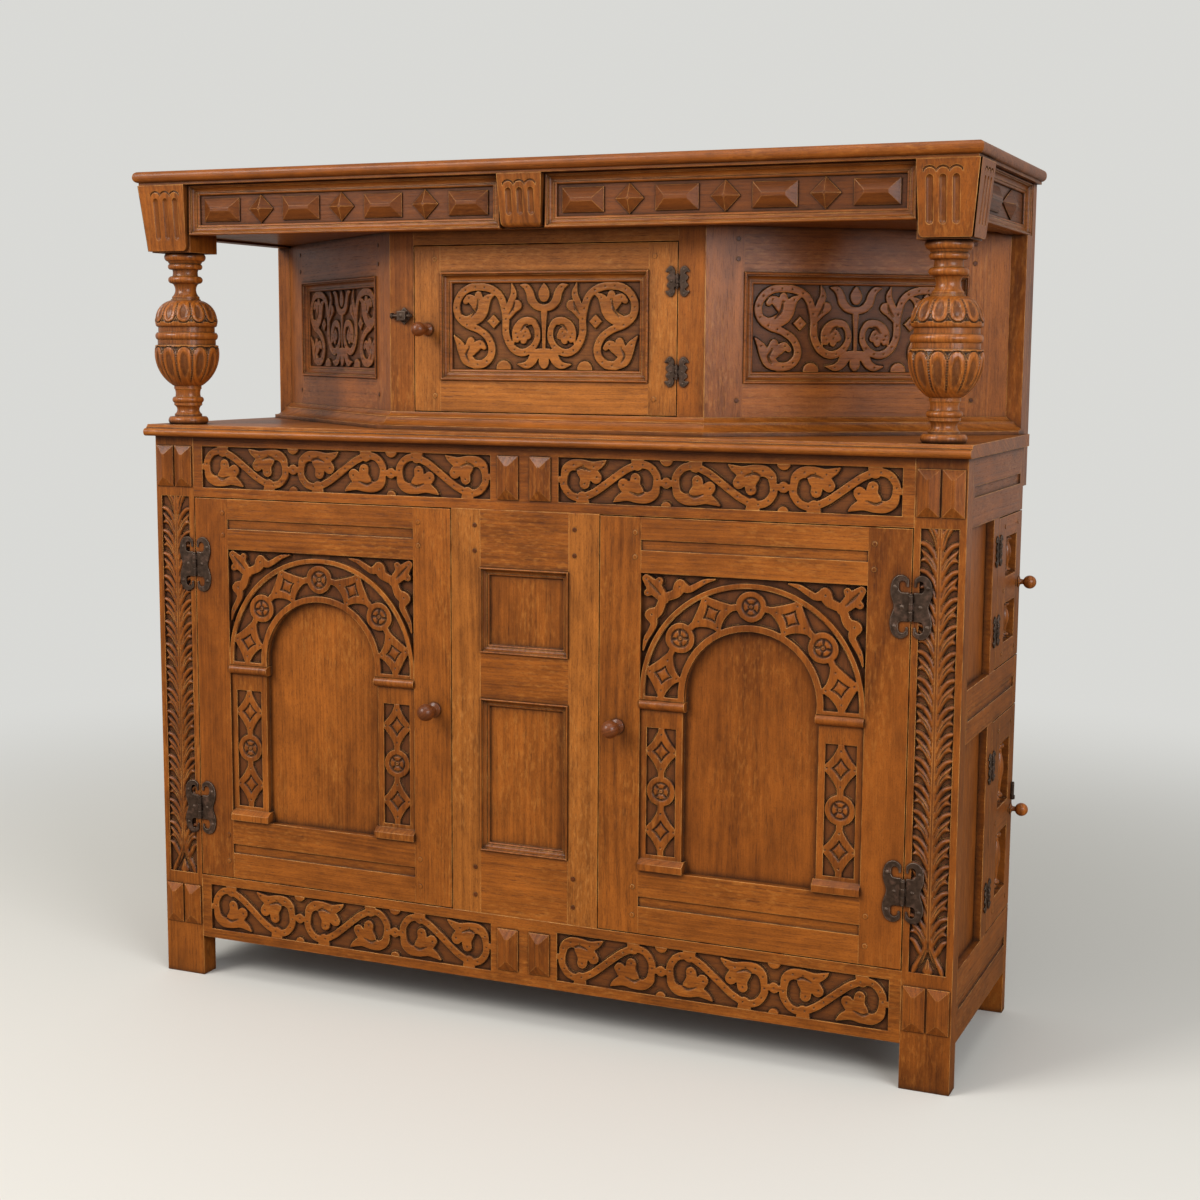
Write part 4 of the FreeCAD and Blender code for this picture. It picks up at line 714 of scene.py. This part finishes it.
def scrollFrieze(width, height):
    relief = Relief(width, height)
    w = scrollWork
    stretch = height / w["drawnHigh"]
    mid, level = w["middle"]

    def turned(part):
        # the same strokes turned half a turn about the middle
        return [(2 * mid - u, 2 * level - v, r) for u, v, r in w[part]]

    for number in range(w["count"]):
        start = number * w["pitch"]

        def put(points):
            return [(start + (w["unit"] - u if number % 2 else u), v * stretch, r)
                    for u, v, r in points]

        for part in ("leaf", "lobe", "curl", "stem"):
            relief.stroke(put(w[part]))
            relief.stroke(put(turned(part)))
        for points in (w["slit"], turned("slit")):
            relief.stroke(put(points), "cut")
        for points in (w["stem"], turned("stem"), w["leaf"]):
            relief.dots(put(points))
        for spot in put(w["eyes"]):
            relief.spot(*spot, "cut")
        for tie in w["ties"]:
            relief.stroke(put(tie))
    level *= stretch
    for number in range(w["count"] + 1):
        u = number * w["pitch"] - (w["pitch"] - w["unit"]) / 2
        relief.spot(u, level, w["knot"])
        half, thick = w["bar"]
        relief.stroke([(u - half, level, thick), (u + half, level, thick)])
        relief.spot(u, level, w["knotEye"], "cut")
        if 0 < number < w["count"]:
            relief.spot(u, height + w["over"][0], w["over"][1])
            relief.spot(u, *w["under"])
    return relief


friezes = {
    "start": 55, "end": 562, "gap": 0.05, "depth": 4.3, "ground": 4.4,
    "rows": (("top", 798, 863), ("bottom", 80, 154)),
}
start, gap = friezes["start"], friezes["gap"]
for row, low, high in friezes["rows"]:
    relief = scrollFrieze(friezes["end"] - start - 2 * gap, high - low - 2 * gap)
    for seed, (side, word) in enumerate(sides, 2):
        frontPiece(f"carved_scrolls_{row}_{word}", relief, friezes["depth"],
                   oak("X", 0, seed, True), side * (start + gap), low + gap, friezes["ground"],
                   side < 0)
print("scroll friezes carved")

# arabesque of the three upper panels, drawn for the right half from the panel's middle
arabesque = {
    "half": (152, 63.5),
    "stem": [
        (11, -4, 4.2), (11, -18, 4.4), (20, -32, 5), (36, -38.5, 5.4), (52, -31, 5.4),
        (62, -12, 5.2), (62.5, 11, 5.2), (65, 26, 5.2), (71, 43, 5.2), (84, 54, 5.3),
        (104, 58.5, 5.4), (125, 56, 5.4), (139, 45, 5.4), (145, 30, 5.4), (141, 14, 5.4),
        (127.5, 2.5, 5), (108, -5, 5), (93, -16, 5.2), (86, -31, 5.4), (88.5, -45, 5.6),
        (100, -55, 6), (115, -56.5, 6.3),
    ],
    "leaves": [
        [(115, -56, 6.3), (127, -49, 9), (134, -38, 8), (140, -26, 5.5), (149, -14, 0.8)],
        [(130, -40, 7), (124, -30, 6.6), (121, -22, 5.8)],
        [(122, -38, 7), (112, -30, 7), (105, -26, 5.4), (99, -31, 3.6)],
        [(140, 14, 5), (128, 8, 7), (113, 12, 9), (103, 21, 9.3), (98, 33, 8), (92, 42, 5),
         (82, 46.5, 0.8)],
        [(104, 30, 8), (107, 39, 7), (108, 46, 5.6)],
        [(108, 28, 8), (116, 37, 7.4), (124, 42, 5), (129.5, 37, 4)],
        [(11, -4, 4.2), (18, 7, 4.6), (31, 7, 6.4), (41, 0, 7), (46, -10, 5.8), (49.5, -24.5, 0.8)],
        [(36, -4, 7), (33, -14, 6.4), (33.5, -21, 4.6)],
        [(41, -8, 6), (43, -16, 5), (44, -20, 3.6)],
        [(30, -8, 6), (26, -14, 4.6)],
        [(62, 16, 5), (55, 34, 4.8), (49.5, 48, 4.4), (52.7, 62.5, 0.8)],
        [(60, 14, 4.6), (50, 24, 5), (44.5, 31, 7.6)],
        [(0, 27, 4.5), (11, 29.5, 5.4), (19.5, 38, 6.2), (23, 49, 5.8), (28.5, 57.5, 4.6),
         (38, 60.5, 0.8)],
        [(0, -37, 4.5), (13, -41, 7), (21, -52, 6.6), (30, -57, 4.8), (43, -55.5, 0.8)],
    ],
    "slits": [
        [(124, -52, 0.4), (129, -42, 1.7), (123, -31, 0.4)],
        [(109, 40, 0.4), (111, 26, 1.7), (120, 14, 0.4)],
        [(22, 2, 0.4), (31, 1.5, 1.6), (38, -7, 0.4)],
        [(57, 18, 0.4), (50, 29, 1.4), (48, 38, 0.4)],
    ],
    "middle": [
        [(0, 43, 7), (0, 48, 8.6), (0, 55, 5.6), (0, 62, 0.8)],
        [(0, 21, 4.6), (0, 12, 4), (0, -5, 2.8), (0, -35, 2)],
        [(0, -44, 6), (0, -51, 8), (0, -57, 5), (0, -60, 1)],
    ],
    "lozenge": (83, 7.4, 9.8), "bump": (66, -62, 11.5), "eye": 0.95, "lozengeEye": 1,
}


def arabesquePanel(width, height):
    relief = Relief(width, height)
    across, tall = width / 2, height / 2
    su, sv = across / arabesque["half"][0], tall / arabesque["half"][1]
    for side in (-1, 1):
        def put(points):
            return [(across + side * u * su, tall + v * sv, r) for u, v, r in points]

        relief.stroke(put(arabesque["stem"]))
        relief.dots(put(arabesque["stem"]))
        for points in map(put, arabesque["leaves"]):
            relief.stroke(points)
            relief.spot(*points[-2][:2], arabesque["eye"], "cut")
        for points in arabesque["slits"]:
            relief.stroke(put(points), "cut")
        for points in arabesque["middle"]:
            relief.stroke(put(points))
        (u, v, r), bump = put((arabesque["lozenge"], arabesque["bump"]))
        away = np.abs(relief.gridU - u) + np.abs(relief.gridV - v)
        relief.lay((r - away) * math.sqrt(0.5))
        relief.spot(u, v, arabesque["lozengeEye"], "cut")
        relief.spot(*bump)
    return relief


upperPanels = {
    "door": (152, 987, 1114), "cantedStart": 75, "cantedLong": 316, "cantedLevels": (987, 1111),
    "gap": 0.1, "face": 60, "ground": 9.9, "depth": 3.6,
    # where the canted fronts begin and end, across and deep
    "cantedFrom": (255, 60), "cantedTo": (625, 358),
}


def slantedPlane(side, start, low, face):
    # the canted fronts: u runs along the board from its front end, out of the face
    (x, y), (endX, endY) = upperPanels["cantedFrom"], upperPanels["cantedTo"]
    angle = math.atan2(endY - y, endX - x)
    c, s = math.cos(angle), math.sin(angle)

    def carry(u, v, out):
        along, deep = start + u, face - out
        return side * (x + along * c - deep * s), y + along * s + deep * c, low + v

    return carry


gap, depth, ground = [upperPanels[name] for name in ("gap", "depth", "ground")]
half, low, high = upperPanels["door"]
relief = arabesquePanel(half * 2 - 2 * gap, high - low - 2 * gap)
# the upper door's carving takes the lightest tone as well, partly painted light
frontPiece("carved_arabesque_door", relief, depth, oak("X", 2, 4, True), gap - half, low + gap,
           upperPanels["face"] + ground, body="upper_door")
low, high = upperPanels["cantedLevels"]
relief = arabesquePanel(upperPanels["cantedLong"] - 2 * gap, high - low - 2 * gap)
for side, word in sides:
    carry = slantedPlane(side, upperPanels["cantedStart"] + gap, low + gap, ground)
    reliefPiece("carved_arabesque_" + word, relief, depth, carry, oak(word, 1, 5, True),
                mirrored=side < 0)
print("arabesque panels carved")

# arcades of the two front doors
arcade = {
    "middle": 351, "half": 166, "foot": 519, "centre": 10, "head": 702,
    "inner": 98, "rim": 107.5, "outer": 160.2, "outerRim": 1.6, "footRim": 5, "play": 0.3,
    "mid": 133.5, "count": 7, "step": 26, "star": (48, 33), "core": (13, 13),
    "ringFace": 4.45, "ringDepth": 4.3, "wall": 1.1,
    "cornerFace": 6.95, "cornerDepth": 6.2, "cornerPlay": 0.4, "cornerLong": 150,
}
cornerLeaf = [
    [(37, 146, 5), (30, 153, 8.6), (19, 164, 10), (8, 175, 6)],
    [(22, 162, 7.6), (28, 173, 5)],
    [(33, 149, 6), (44, 152, 6), (54, 157, 7), (59, 166, 9)],
    [(60, 168, 8.6), (72, 163, 5), (82, 167, 4.2), (96, 175, 3.4), (112, 179, 0.8)],
]
cornerCut = [(11, 172, 0.4), (20, 163, 1.5), (30, 153, 0.4)]
star = {
    "curve": 0.7, "arm": 4.4, "coreCurve": 0.82, "coreLine": 1.5, "coreSunk": 1.4,
    "dots": (1.75, 1.6), "dot": 0.95,
}
roundel = {
    "radius": 21.5, "ring": 12.5, "line": 1.45, "spokes": (45, 135), "from": 3,
    "thick": (0.3, 0.19), "eyeRing": (1, 3.8), "eye": 0.7,
}


def starPlace(relief, s, t, reach, core):
    # a four pointed star with a faceted lozenge in the middle, s and t measured from its centre
    a, b = np.abs(s), np.abs(t)
    curve, small = star["curve"], 1e-4
    relief.shape(1 - (a / reach[0] + small) ** curve - (b / reach[1] + small) ** curve)
    relief.lay(np.where(a < reach[0], star["arm"] - b, -farOff))
    relief.lay(np.where(b < reach[1], star["arm"] - a, -farOff))
    curve = star["coreCurve"]
    off = (a / core[0]) ** curve + (b / core[1]) ** curve - 1
    relief.lay(star["coreLine"] - np.abs(off * min(core)), "cut")
    relief.lay(np.where(off < 0, star["coreSunk"] * (1 + off), 0), "lower")
    for du, dv in ((1, 0), (-1, 0), (0, 1), (0, -1)):
        away = np.hypot(s - du * core[0] * star["dots"][0], t - dv * core[1] * star["dots"][1])
        relief.lay(star["dot"] - away, "cut")


def roundelPlace(relief, s, t):
    away, ring = np.hypot(s, t), roundel["ring"]
    relief.lay(roundel["radius"] - away)
    for line, radius in ((roundel["line"], ring), roundel["eyeRing"]):
        relief.lay(line - np.abs(away - radius), "cut")
    relief.lay(roundel["eye"] - away, "cut")
    base, slope = roundel["thick"]
    for angle in map(math.radians, roundel["spokes"]):
        c, n = math.cos(angle), math.sin(angle)
        along, off = np.abs(s * c + t * n), np.abs(t * c - s * n)
        on = (along > roundel["from"]) & (along < ring)
        relief.lay(np.where(on, base + along * slope - off, -farOff), "cut")


def archRelief():
    a = arcade
    relief = Relief(a["half"] * 2, a["head"] - a["foot"])
    return relief, relief.gridU - a["half"], relief.gridV - a["centre"]


def archBand():
    a = arcade
    relief, u, v = archRelief()
    radius, angle = np.hypot(u, v), np.degrees(np.arctan2(v, u))
    angle = np.where(angle < -90, angle + 360, angle)
    inner, outer = a["inner"] + a["play"], a["outer"] - a["play"]
    relief.inside = np.minimum(radius - inner, outer - radius)
    relief.lay(a["rim"] - radius)
    relief.lay(radius - a["outer"] + a["outerRim"])
    relief.lay(a["footRim"] - relief.gridV)
    for number in range(a["count"]):
        turn = 90 + (number - a["count"] // 2) * a["step"]
        s, t = np.radians(angle - turn) * a["mid"], radius - a["mid"]
        if number % 2:
            roundelPlace(relief, s, t)
        else:
            starPlace(relief, s, t, a["star"], a["core"])
    return relief


def cornerPiece():
    relief, u, v = archRelief()
    bow = np.hypot(u, v) - arcade["half"] - arcade["cornerPlay"]
    relief.inside = np.minimum(bow, arcade["cornerLong"] - relief.gridU)
    tall = relief.height

    def swapped(points):
        # the same strokes over the corner's slanting middle line
        return [(tall - v, tall - u, r) for u, v, r in points]

    for points in cornerLeaf + [swapped(points) for points in cornerLeaf]:
        relief.stroke(points)
        u, v, r = points[-1] if points[-1][2] > 2 else points[-2]
        relief.spot(u, v, star["dot"], "cut")
    for points in (cornerCut, swapped(cornerCut)):
        relief.stroke(points, "cut")
    return relief


pillar = {
    "edges": (195, 240), "low": 290, "high": 478, "gap": 0.05, "face": 6.4, "depth": 2.9,
    "roundel": 385, "stars": (326.7, 443.5), "star": (46, 31), "core": (14.5, 12.5),
}


def pillarField():
    low, gap = pillar["low"], pillar["gap"]
    left, right = pillar["edges"]
    relief = Relief(right - left - 2 * gap, pillar["high"] - low - 2 * gap)
    u = relief.gridU - relief.width / 2
    roundelPlace(relief, u, relief.gridV - (pillar["roundel"] - low))
    for level in pillar["stars"]:
        starPlace(relief, relief.gridV - (level - low), u, pillar["star"], pillar["core"])
    return relief


band, corner, field = archBand(), cornerPiece(), pillarField()
for seed, (side, word) in enumerate(sides, 6):
    finish, door = oak("Z", 1, seed, True), word + "_door"
    left = arcade["middle"] * side - arcade["half"]
    frontPiece("arch_band_" + word, band, arcade["ringDepth"], finish, left, arcade["foot"],
               arcade["ringFace"], body=door, wall=arcade["wall"])
    for letter, flip in (("a", False), ("b", True)):
        # each corner and field stands plain on one half of the arch, and turned over on the other
        start = left + 2 * arcade["half"] * flip
        frontPiece(f"arch_corner_{word}_{letter}", corner, arcade["cornerDepth"], finish, start,
                   arcade["foot"], arcade["cornerFace"], flip, body=door)
        low, high = pillar["edges"]
        if (side > 0) == flip:
            low, high = 2 * arcade["middle"] - high, 2 * arcade["middle"] - low
        start = low if side > 0 else -high
        frontPiece(f"pillar_field_{word}_{letter}", field, pillar["depth"], finish,
                   start + pillar["gap"], pillar["low"] + pillar["gap"], pillar["face"],
                   body=door, wall=arcade["wall"])
print("arcades carved")

# leaf strips of the two front posts
leafStrip = {
    "middle": 614.5, "half": 26, "low": 169, "high": 783, "gap": 0.05, "ground": 3.9,
    "depth": 3.8, "rounded": (1.9, 3.6),
    "first": 44, "pitch": 36.7, "count": 15, "clearTop": 34,
}
# u is measured from the stem and v up from the level of each part; veins are cut, the rest raised
leafWork = {
    "stem": [
        [(0, 46, 5), (0, 120, 4.4), (0, 618.9, 4.4)],
        [(0, 3, 7), (0, 10, 4.2), (0, 20, 0.5)],
    ],
    "stemVein": [(0, 34, 0.2), (0, 52, 0.5), (0, 593.9, 0.5), (0, 613.9, 0.3)],
    "foot": [
        [(2.2, 48, 3.6), (5, 31, 3.8), (11, 18, 3.8), (18, 7, 3.4), (21, -3, 3)],
        [(8, 24, 2.6), (14, 34, 3.2), (20, 44, 3), (27, 48, 2)],
    ],
    "footVein": [(3, 34, 0.3), (9, 18, 1.3), (15, 4, 0.8)],
    "barb": [
        [(3.5, -8, 2.6), (7.5, 3, 3.5), (12.5, 12, 3.9), (18, 19.5, 3.4), (25.5, 28, 0.8)],
        [(14, 11, 2.6), (20, 14.5, 2.6), (25, 13, 1.4)],
        [(3.5, 10, 2.4), (7.5, 21, 3), (12.5, 28.5, 3.2), (18.5, 34, 3), (28, 37, 2.6)],
    ],
    "barbVein": [(7, 2, 0.2), (12.5, 12, 0.9), (20, 20, 0.3)],
    "tip": [[(2, -26, 4), (5, -12, 4.4), (12, 1, 5)]],
    "tipVein": [(4.4, -22, 0.3), (7.5, -10, 1), (12, 0, 0.4)],
}


def leafRelief():
    s = leafStrip
    relief = Relief(2 * (s["half"] - s["gap"]), s["high"] - s["low"] - 2 * s["gap"])
    mid, tall = relief.width / 2, relief.height
    levels = [("barb", s["first"] + number * s["pitch"]) for number in range(s["count"])]
    for side in (-1, 1):
        for part, level in [("stem", 0), ("foot", 0), ("tip", tall)] + levels:
            def put(points):
                return [(mid + side * u, level + v, r) for u, v, r in points]

            for points in map(put, leafWork[part]):
                if part != "barb" or points[0][1] < tall - s["clearTop"]:
                    relief.stroke(points)
            relief.stroke(put(leafWork[part + "Vein"]), "cut")
    return relief


relief = leafRelief()
low, gap = leafStrip["low"], leafStrip["gap"]
for side, word in sides:
    start = side * leafStrip["middle"] - leafStrip["half"]
    frontPiece("leaf_strip_" + word, relief, leafStrip["depth"], oak("Z", 1, 8, True),
               start + gap, low + gap, leafStrip["ground"], rounded=leafStrip["rounded"])
print("leaf strips carved")

# cup-and-cover balusters with carved petals
baluster = {
    "axis": (608, 31), "low": 896, "tall": 267, "around": 300, "step": 0.95, "sharp": 34,
    # radius and height in thousandths of the height; four numbers end an arc and give its middle
    "outline": (
        (105, 0), (105, 45, 117, 22), (80, 47), (80, 60),
        (82, 112, 65, 86), (82, 127), (82, 161, 92, 144),
        (74, 163), (76, 206, 72, 184), (80, 208), (80, 227),
        (85, 228), (183, 464, 173, 336), (169, 468), (169, 496),
        (172, 498), (172, 539, 182, 519), (164, 541), (164, 571),
        (179, 590, 175, 577), (178, 625, 182, 608),
        (87, 728, 156, 683), (87, 733), (80, 736), (80, 748),
        (72, 822, 61, 785), (80, 826), (80, 868, 100, 848),
        (75, 870), (75, 905, 72, 888), (90, 907),
        (90, 940, 100, 924), (94, 943), (100, 953),
        (108, 1000, 120, 977),
    ),
}
# rows are where the petals lie, as shares of the height, and if their round ends are below
petals = {
    "rows": ((0.24, 0.458, False), (0.596, 0.724, True)), "count": 12, "gap": 0.75,
    "centre": 11.5, "radius": 11.2, "fade": 0.12, "line": (1.5, 0.3, 0.95), "groove": 2,
    "bead": 3.6, "beadBand": 1.6, "beadLow": 0.55, "corner": 2.2, "cornerSide": (1.2, 0.9),
    "eye": (0.49, 0.37, 0.56), "hollow": 2.3, "dark": (0.95, 1, 0.6),
}


def arcPoints(start, through, end, step):
    # points on the round curve through three places, without the first
    a, b, c = [complex(*spot) for spot in (start, through, end)]
    w = (c - a) / (b - a)
    centre = a + (b - a) * (w - abs(w) ** 2) / (w - w.conjugate())
    ray = a - centre
    middle, last = [cmath.phase((spot - centre) / ray) for spot in (b, c)]
    if middle * last < 0:
        last -= math.copysign(2 * math.pi, last)
    count = max(3, round(abs(last) * abs(ray) / step))
    places = [centre + ray * cmath.rect(1, last * n / count) for n in range(1, count + 1)]
    return [(place.real, place.imag) for place in places]


def turnedOutline():
    tall, step = baluster["tall"], baluster["step"]
    line = []
    for spot in baluster["outline"]:
        r, h, *through = [part * tall / 1000 for part in spot]
        if not line:
            line.append((r, h))
        elif through:
            line += arcPoints(line[-1], through, (r, h), step)
        else:
            r0, h0 = line[-1]
            count = max(1, round(math.hypot(r - r0, h - h0) / step / 2))
            line += [(r0 + (r - r0) * n / count, h0 + (h - h0) * n / count)
                     for n in range(1, count + 1)]
    return np.array(line)


def petalWork(radius, height, angle):
    # how deep the carving goes in, and how dark its ground is, stained and painted with shade in
    # the grooves and hollows
    p, tall = petals, baluster["tall"]
    share = (angle / (2 * math.pi) * p["count"] + 0.5) % 1 - 0.5
    pitch = 2 * math.pi * radius / p["count"]
    w, half = np.abs(share * pitch), pitch / 2 - p["gap"]
    deep, dark = np.zeros(w.shape), np.zeros(w.shape)
    for low, high, roundLow in p["rows"]:
        low, high = low * tall, high * tall
        here = (height > low) & (height < high)
        long, centre = high - low, p["centre"]
        t = height - low if roundLow else high - height  # distance from the rounded end
        inside = np.where(t > centre, half - w, p["radius"] - np.hypot(w, t - centre))
        inside = np.minimum(inside, half - w)
        fade = np.clip((long - t) / (long * p["fade"]), 0, 1)
        strong, off, soft = p["line"]
        groove = np.clip(strong - np.abs(inside + off) / soft, 0, 1) * fade
        base = p["beadLow"]
        beads = base + (1 - base) * np.cos(2 * math.pi * t / p["bead"])
        beaded = (t > centre) & (w > half - p["beadBand"])
        groove = np.where(beaded, groove * (1 - base + base * beads), groove)
        off, soft = p["cornerSide"]
        corner = np.clip(-(inside + off) / soft, 0, 1) * (t > off)
        middle, tallness, width = p["eye"]
        eye = 1 - ((t / long - middle) / tallness) ** 2 - (w / (half * width)) ** 2
        cuts = np.array([groove, corner, np.clip(eye * 2, 0, 1)])
        depths = np.array([p["groove"], p["corner"], p["hollow"]])
        deep = np.where(here, (cuts * depths[:, None, None]).max(0), deep)
        dark = np.where(here, (cuts * np.array(p["dark"])[:, None, None]).max(0), dark)
    return deep, dark


line, count = turnedOutline(), baluster["around"]
angle = np.arange(count)[None, :] * 2 * math.pi / count
radius, height = line[:, :1], line[:, 1:]
deep, dark = petalWork(radius, height, angle)
reach = radius - deep
across, back = baluster["axis"]
index = np.arange(dark.size).reshape(dark.shape)
after = np.roll(index, -1, 1)
quads = np.stack([index[:-1], after[:-1], after[1:], index[1:]], -1).reshape(-1, 4)
faces = quads.tolist() + [index[0][::-1].tolist(), index[-1].tolist()]
for side, word in sides:
    x = across * side + reach * np.cos(angle)
    y = back - depthShift + reach * np.sin(angle)
    z = baluster["low"] + height + 0 * angle
    points = np.stack([x, y, z], -1).reshape(-1, 3) / 1000
    piece = carvedPiece(word + "_carved_baluster", points, faces, dark.ravel(),
                        baluster["sharp"], carvedTurning, "case")
    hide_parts(word + "_baluster")
print("balusters carved")

# pale to the eye, but its bounce on the wood is that of a boarded floor
floorLook = {
    "half": 6, "parts": 8, "drop": 0.0004, "bounce": (140, 116, 88), "seen": (226, 224, 218),
    "fade": (1.0, 2.9), "rough": 0.7,
}
mesh = bpy.data.meshes.new("floor")
work = bmesh.new()
parts = floorLook["parts"]
bmesh.ops.create_grid(work, x_segments=parts, y_segments=parts, size=floorLook["half"])
work.to_mesh(mesh)
work.free()
floor = bpy.data.objects.new("floor", mesh)
floor.location.z = -floorLook["drop"]
link(floor)
material, b, shader = newMaterial("pale_floor")
shader.inputs["Roughness"].default_value = floorLook["rough"]
seen = b.seen()
colour = b.mix(seen, tint(*floorLook["bounce"]), tint(*floorLook["seen"]))
b.wire(colour, shader.inputs["Base Color"])
# seen by the eye, the far floor fades into the pale room
away = b.add("ShaderNodeVectorMath", {0: b.where()}, operation="LENGTH").outputs["Value"]
far = b.spread(away, *floorLook["fade"], interpolation_type="SMOOTHSTEP")
glow = b.add("ShaderNodeEmission", {"Color": room["colour"], "Strength": room["seen"]})
sockets = {0: b.times(seen, far), 1: shader.outputs[0], 2: glow.outputs[0]}
blend = b.add("ShaderNodeMixShader", sockets).outputs[0]
b.wire(blend, material.node_tree.nodes["Material Output"].inputs["Surface"])
mesh.materials.append(material)
floor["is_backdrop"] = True
low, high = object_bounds()
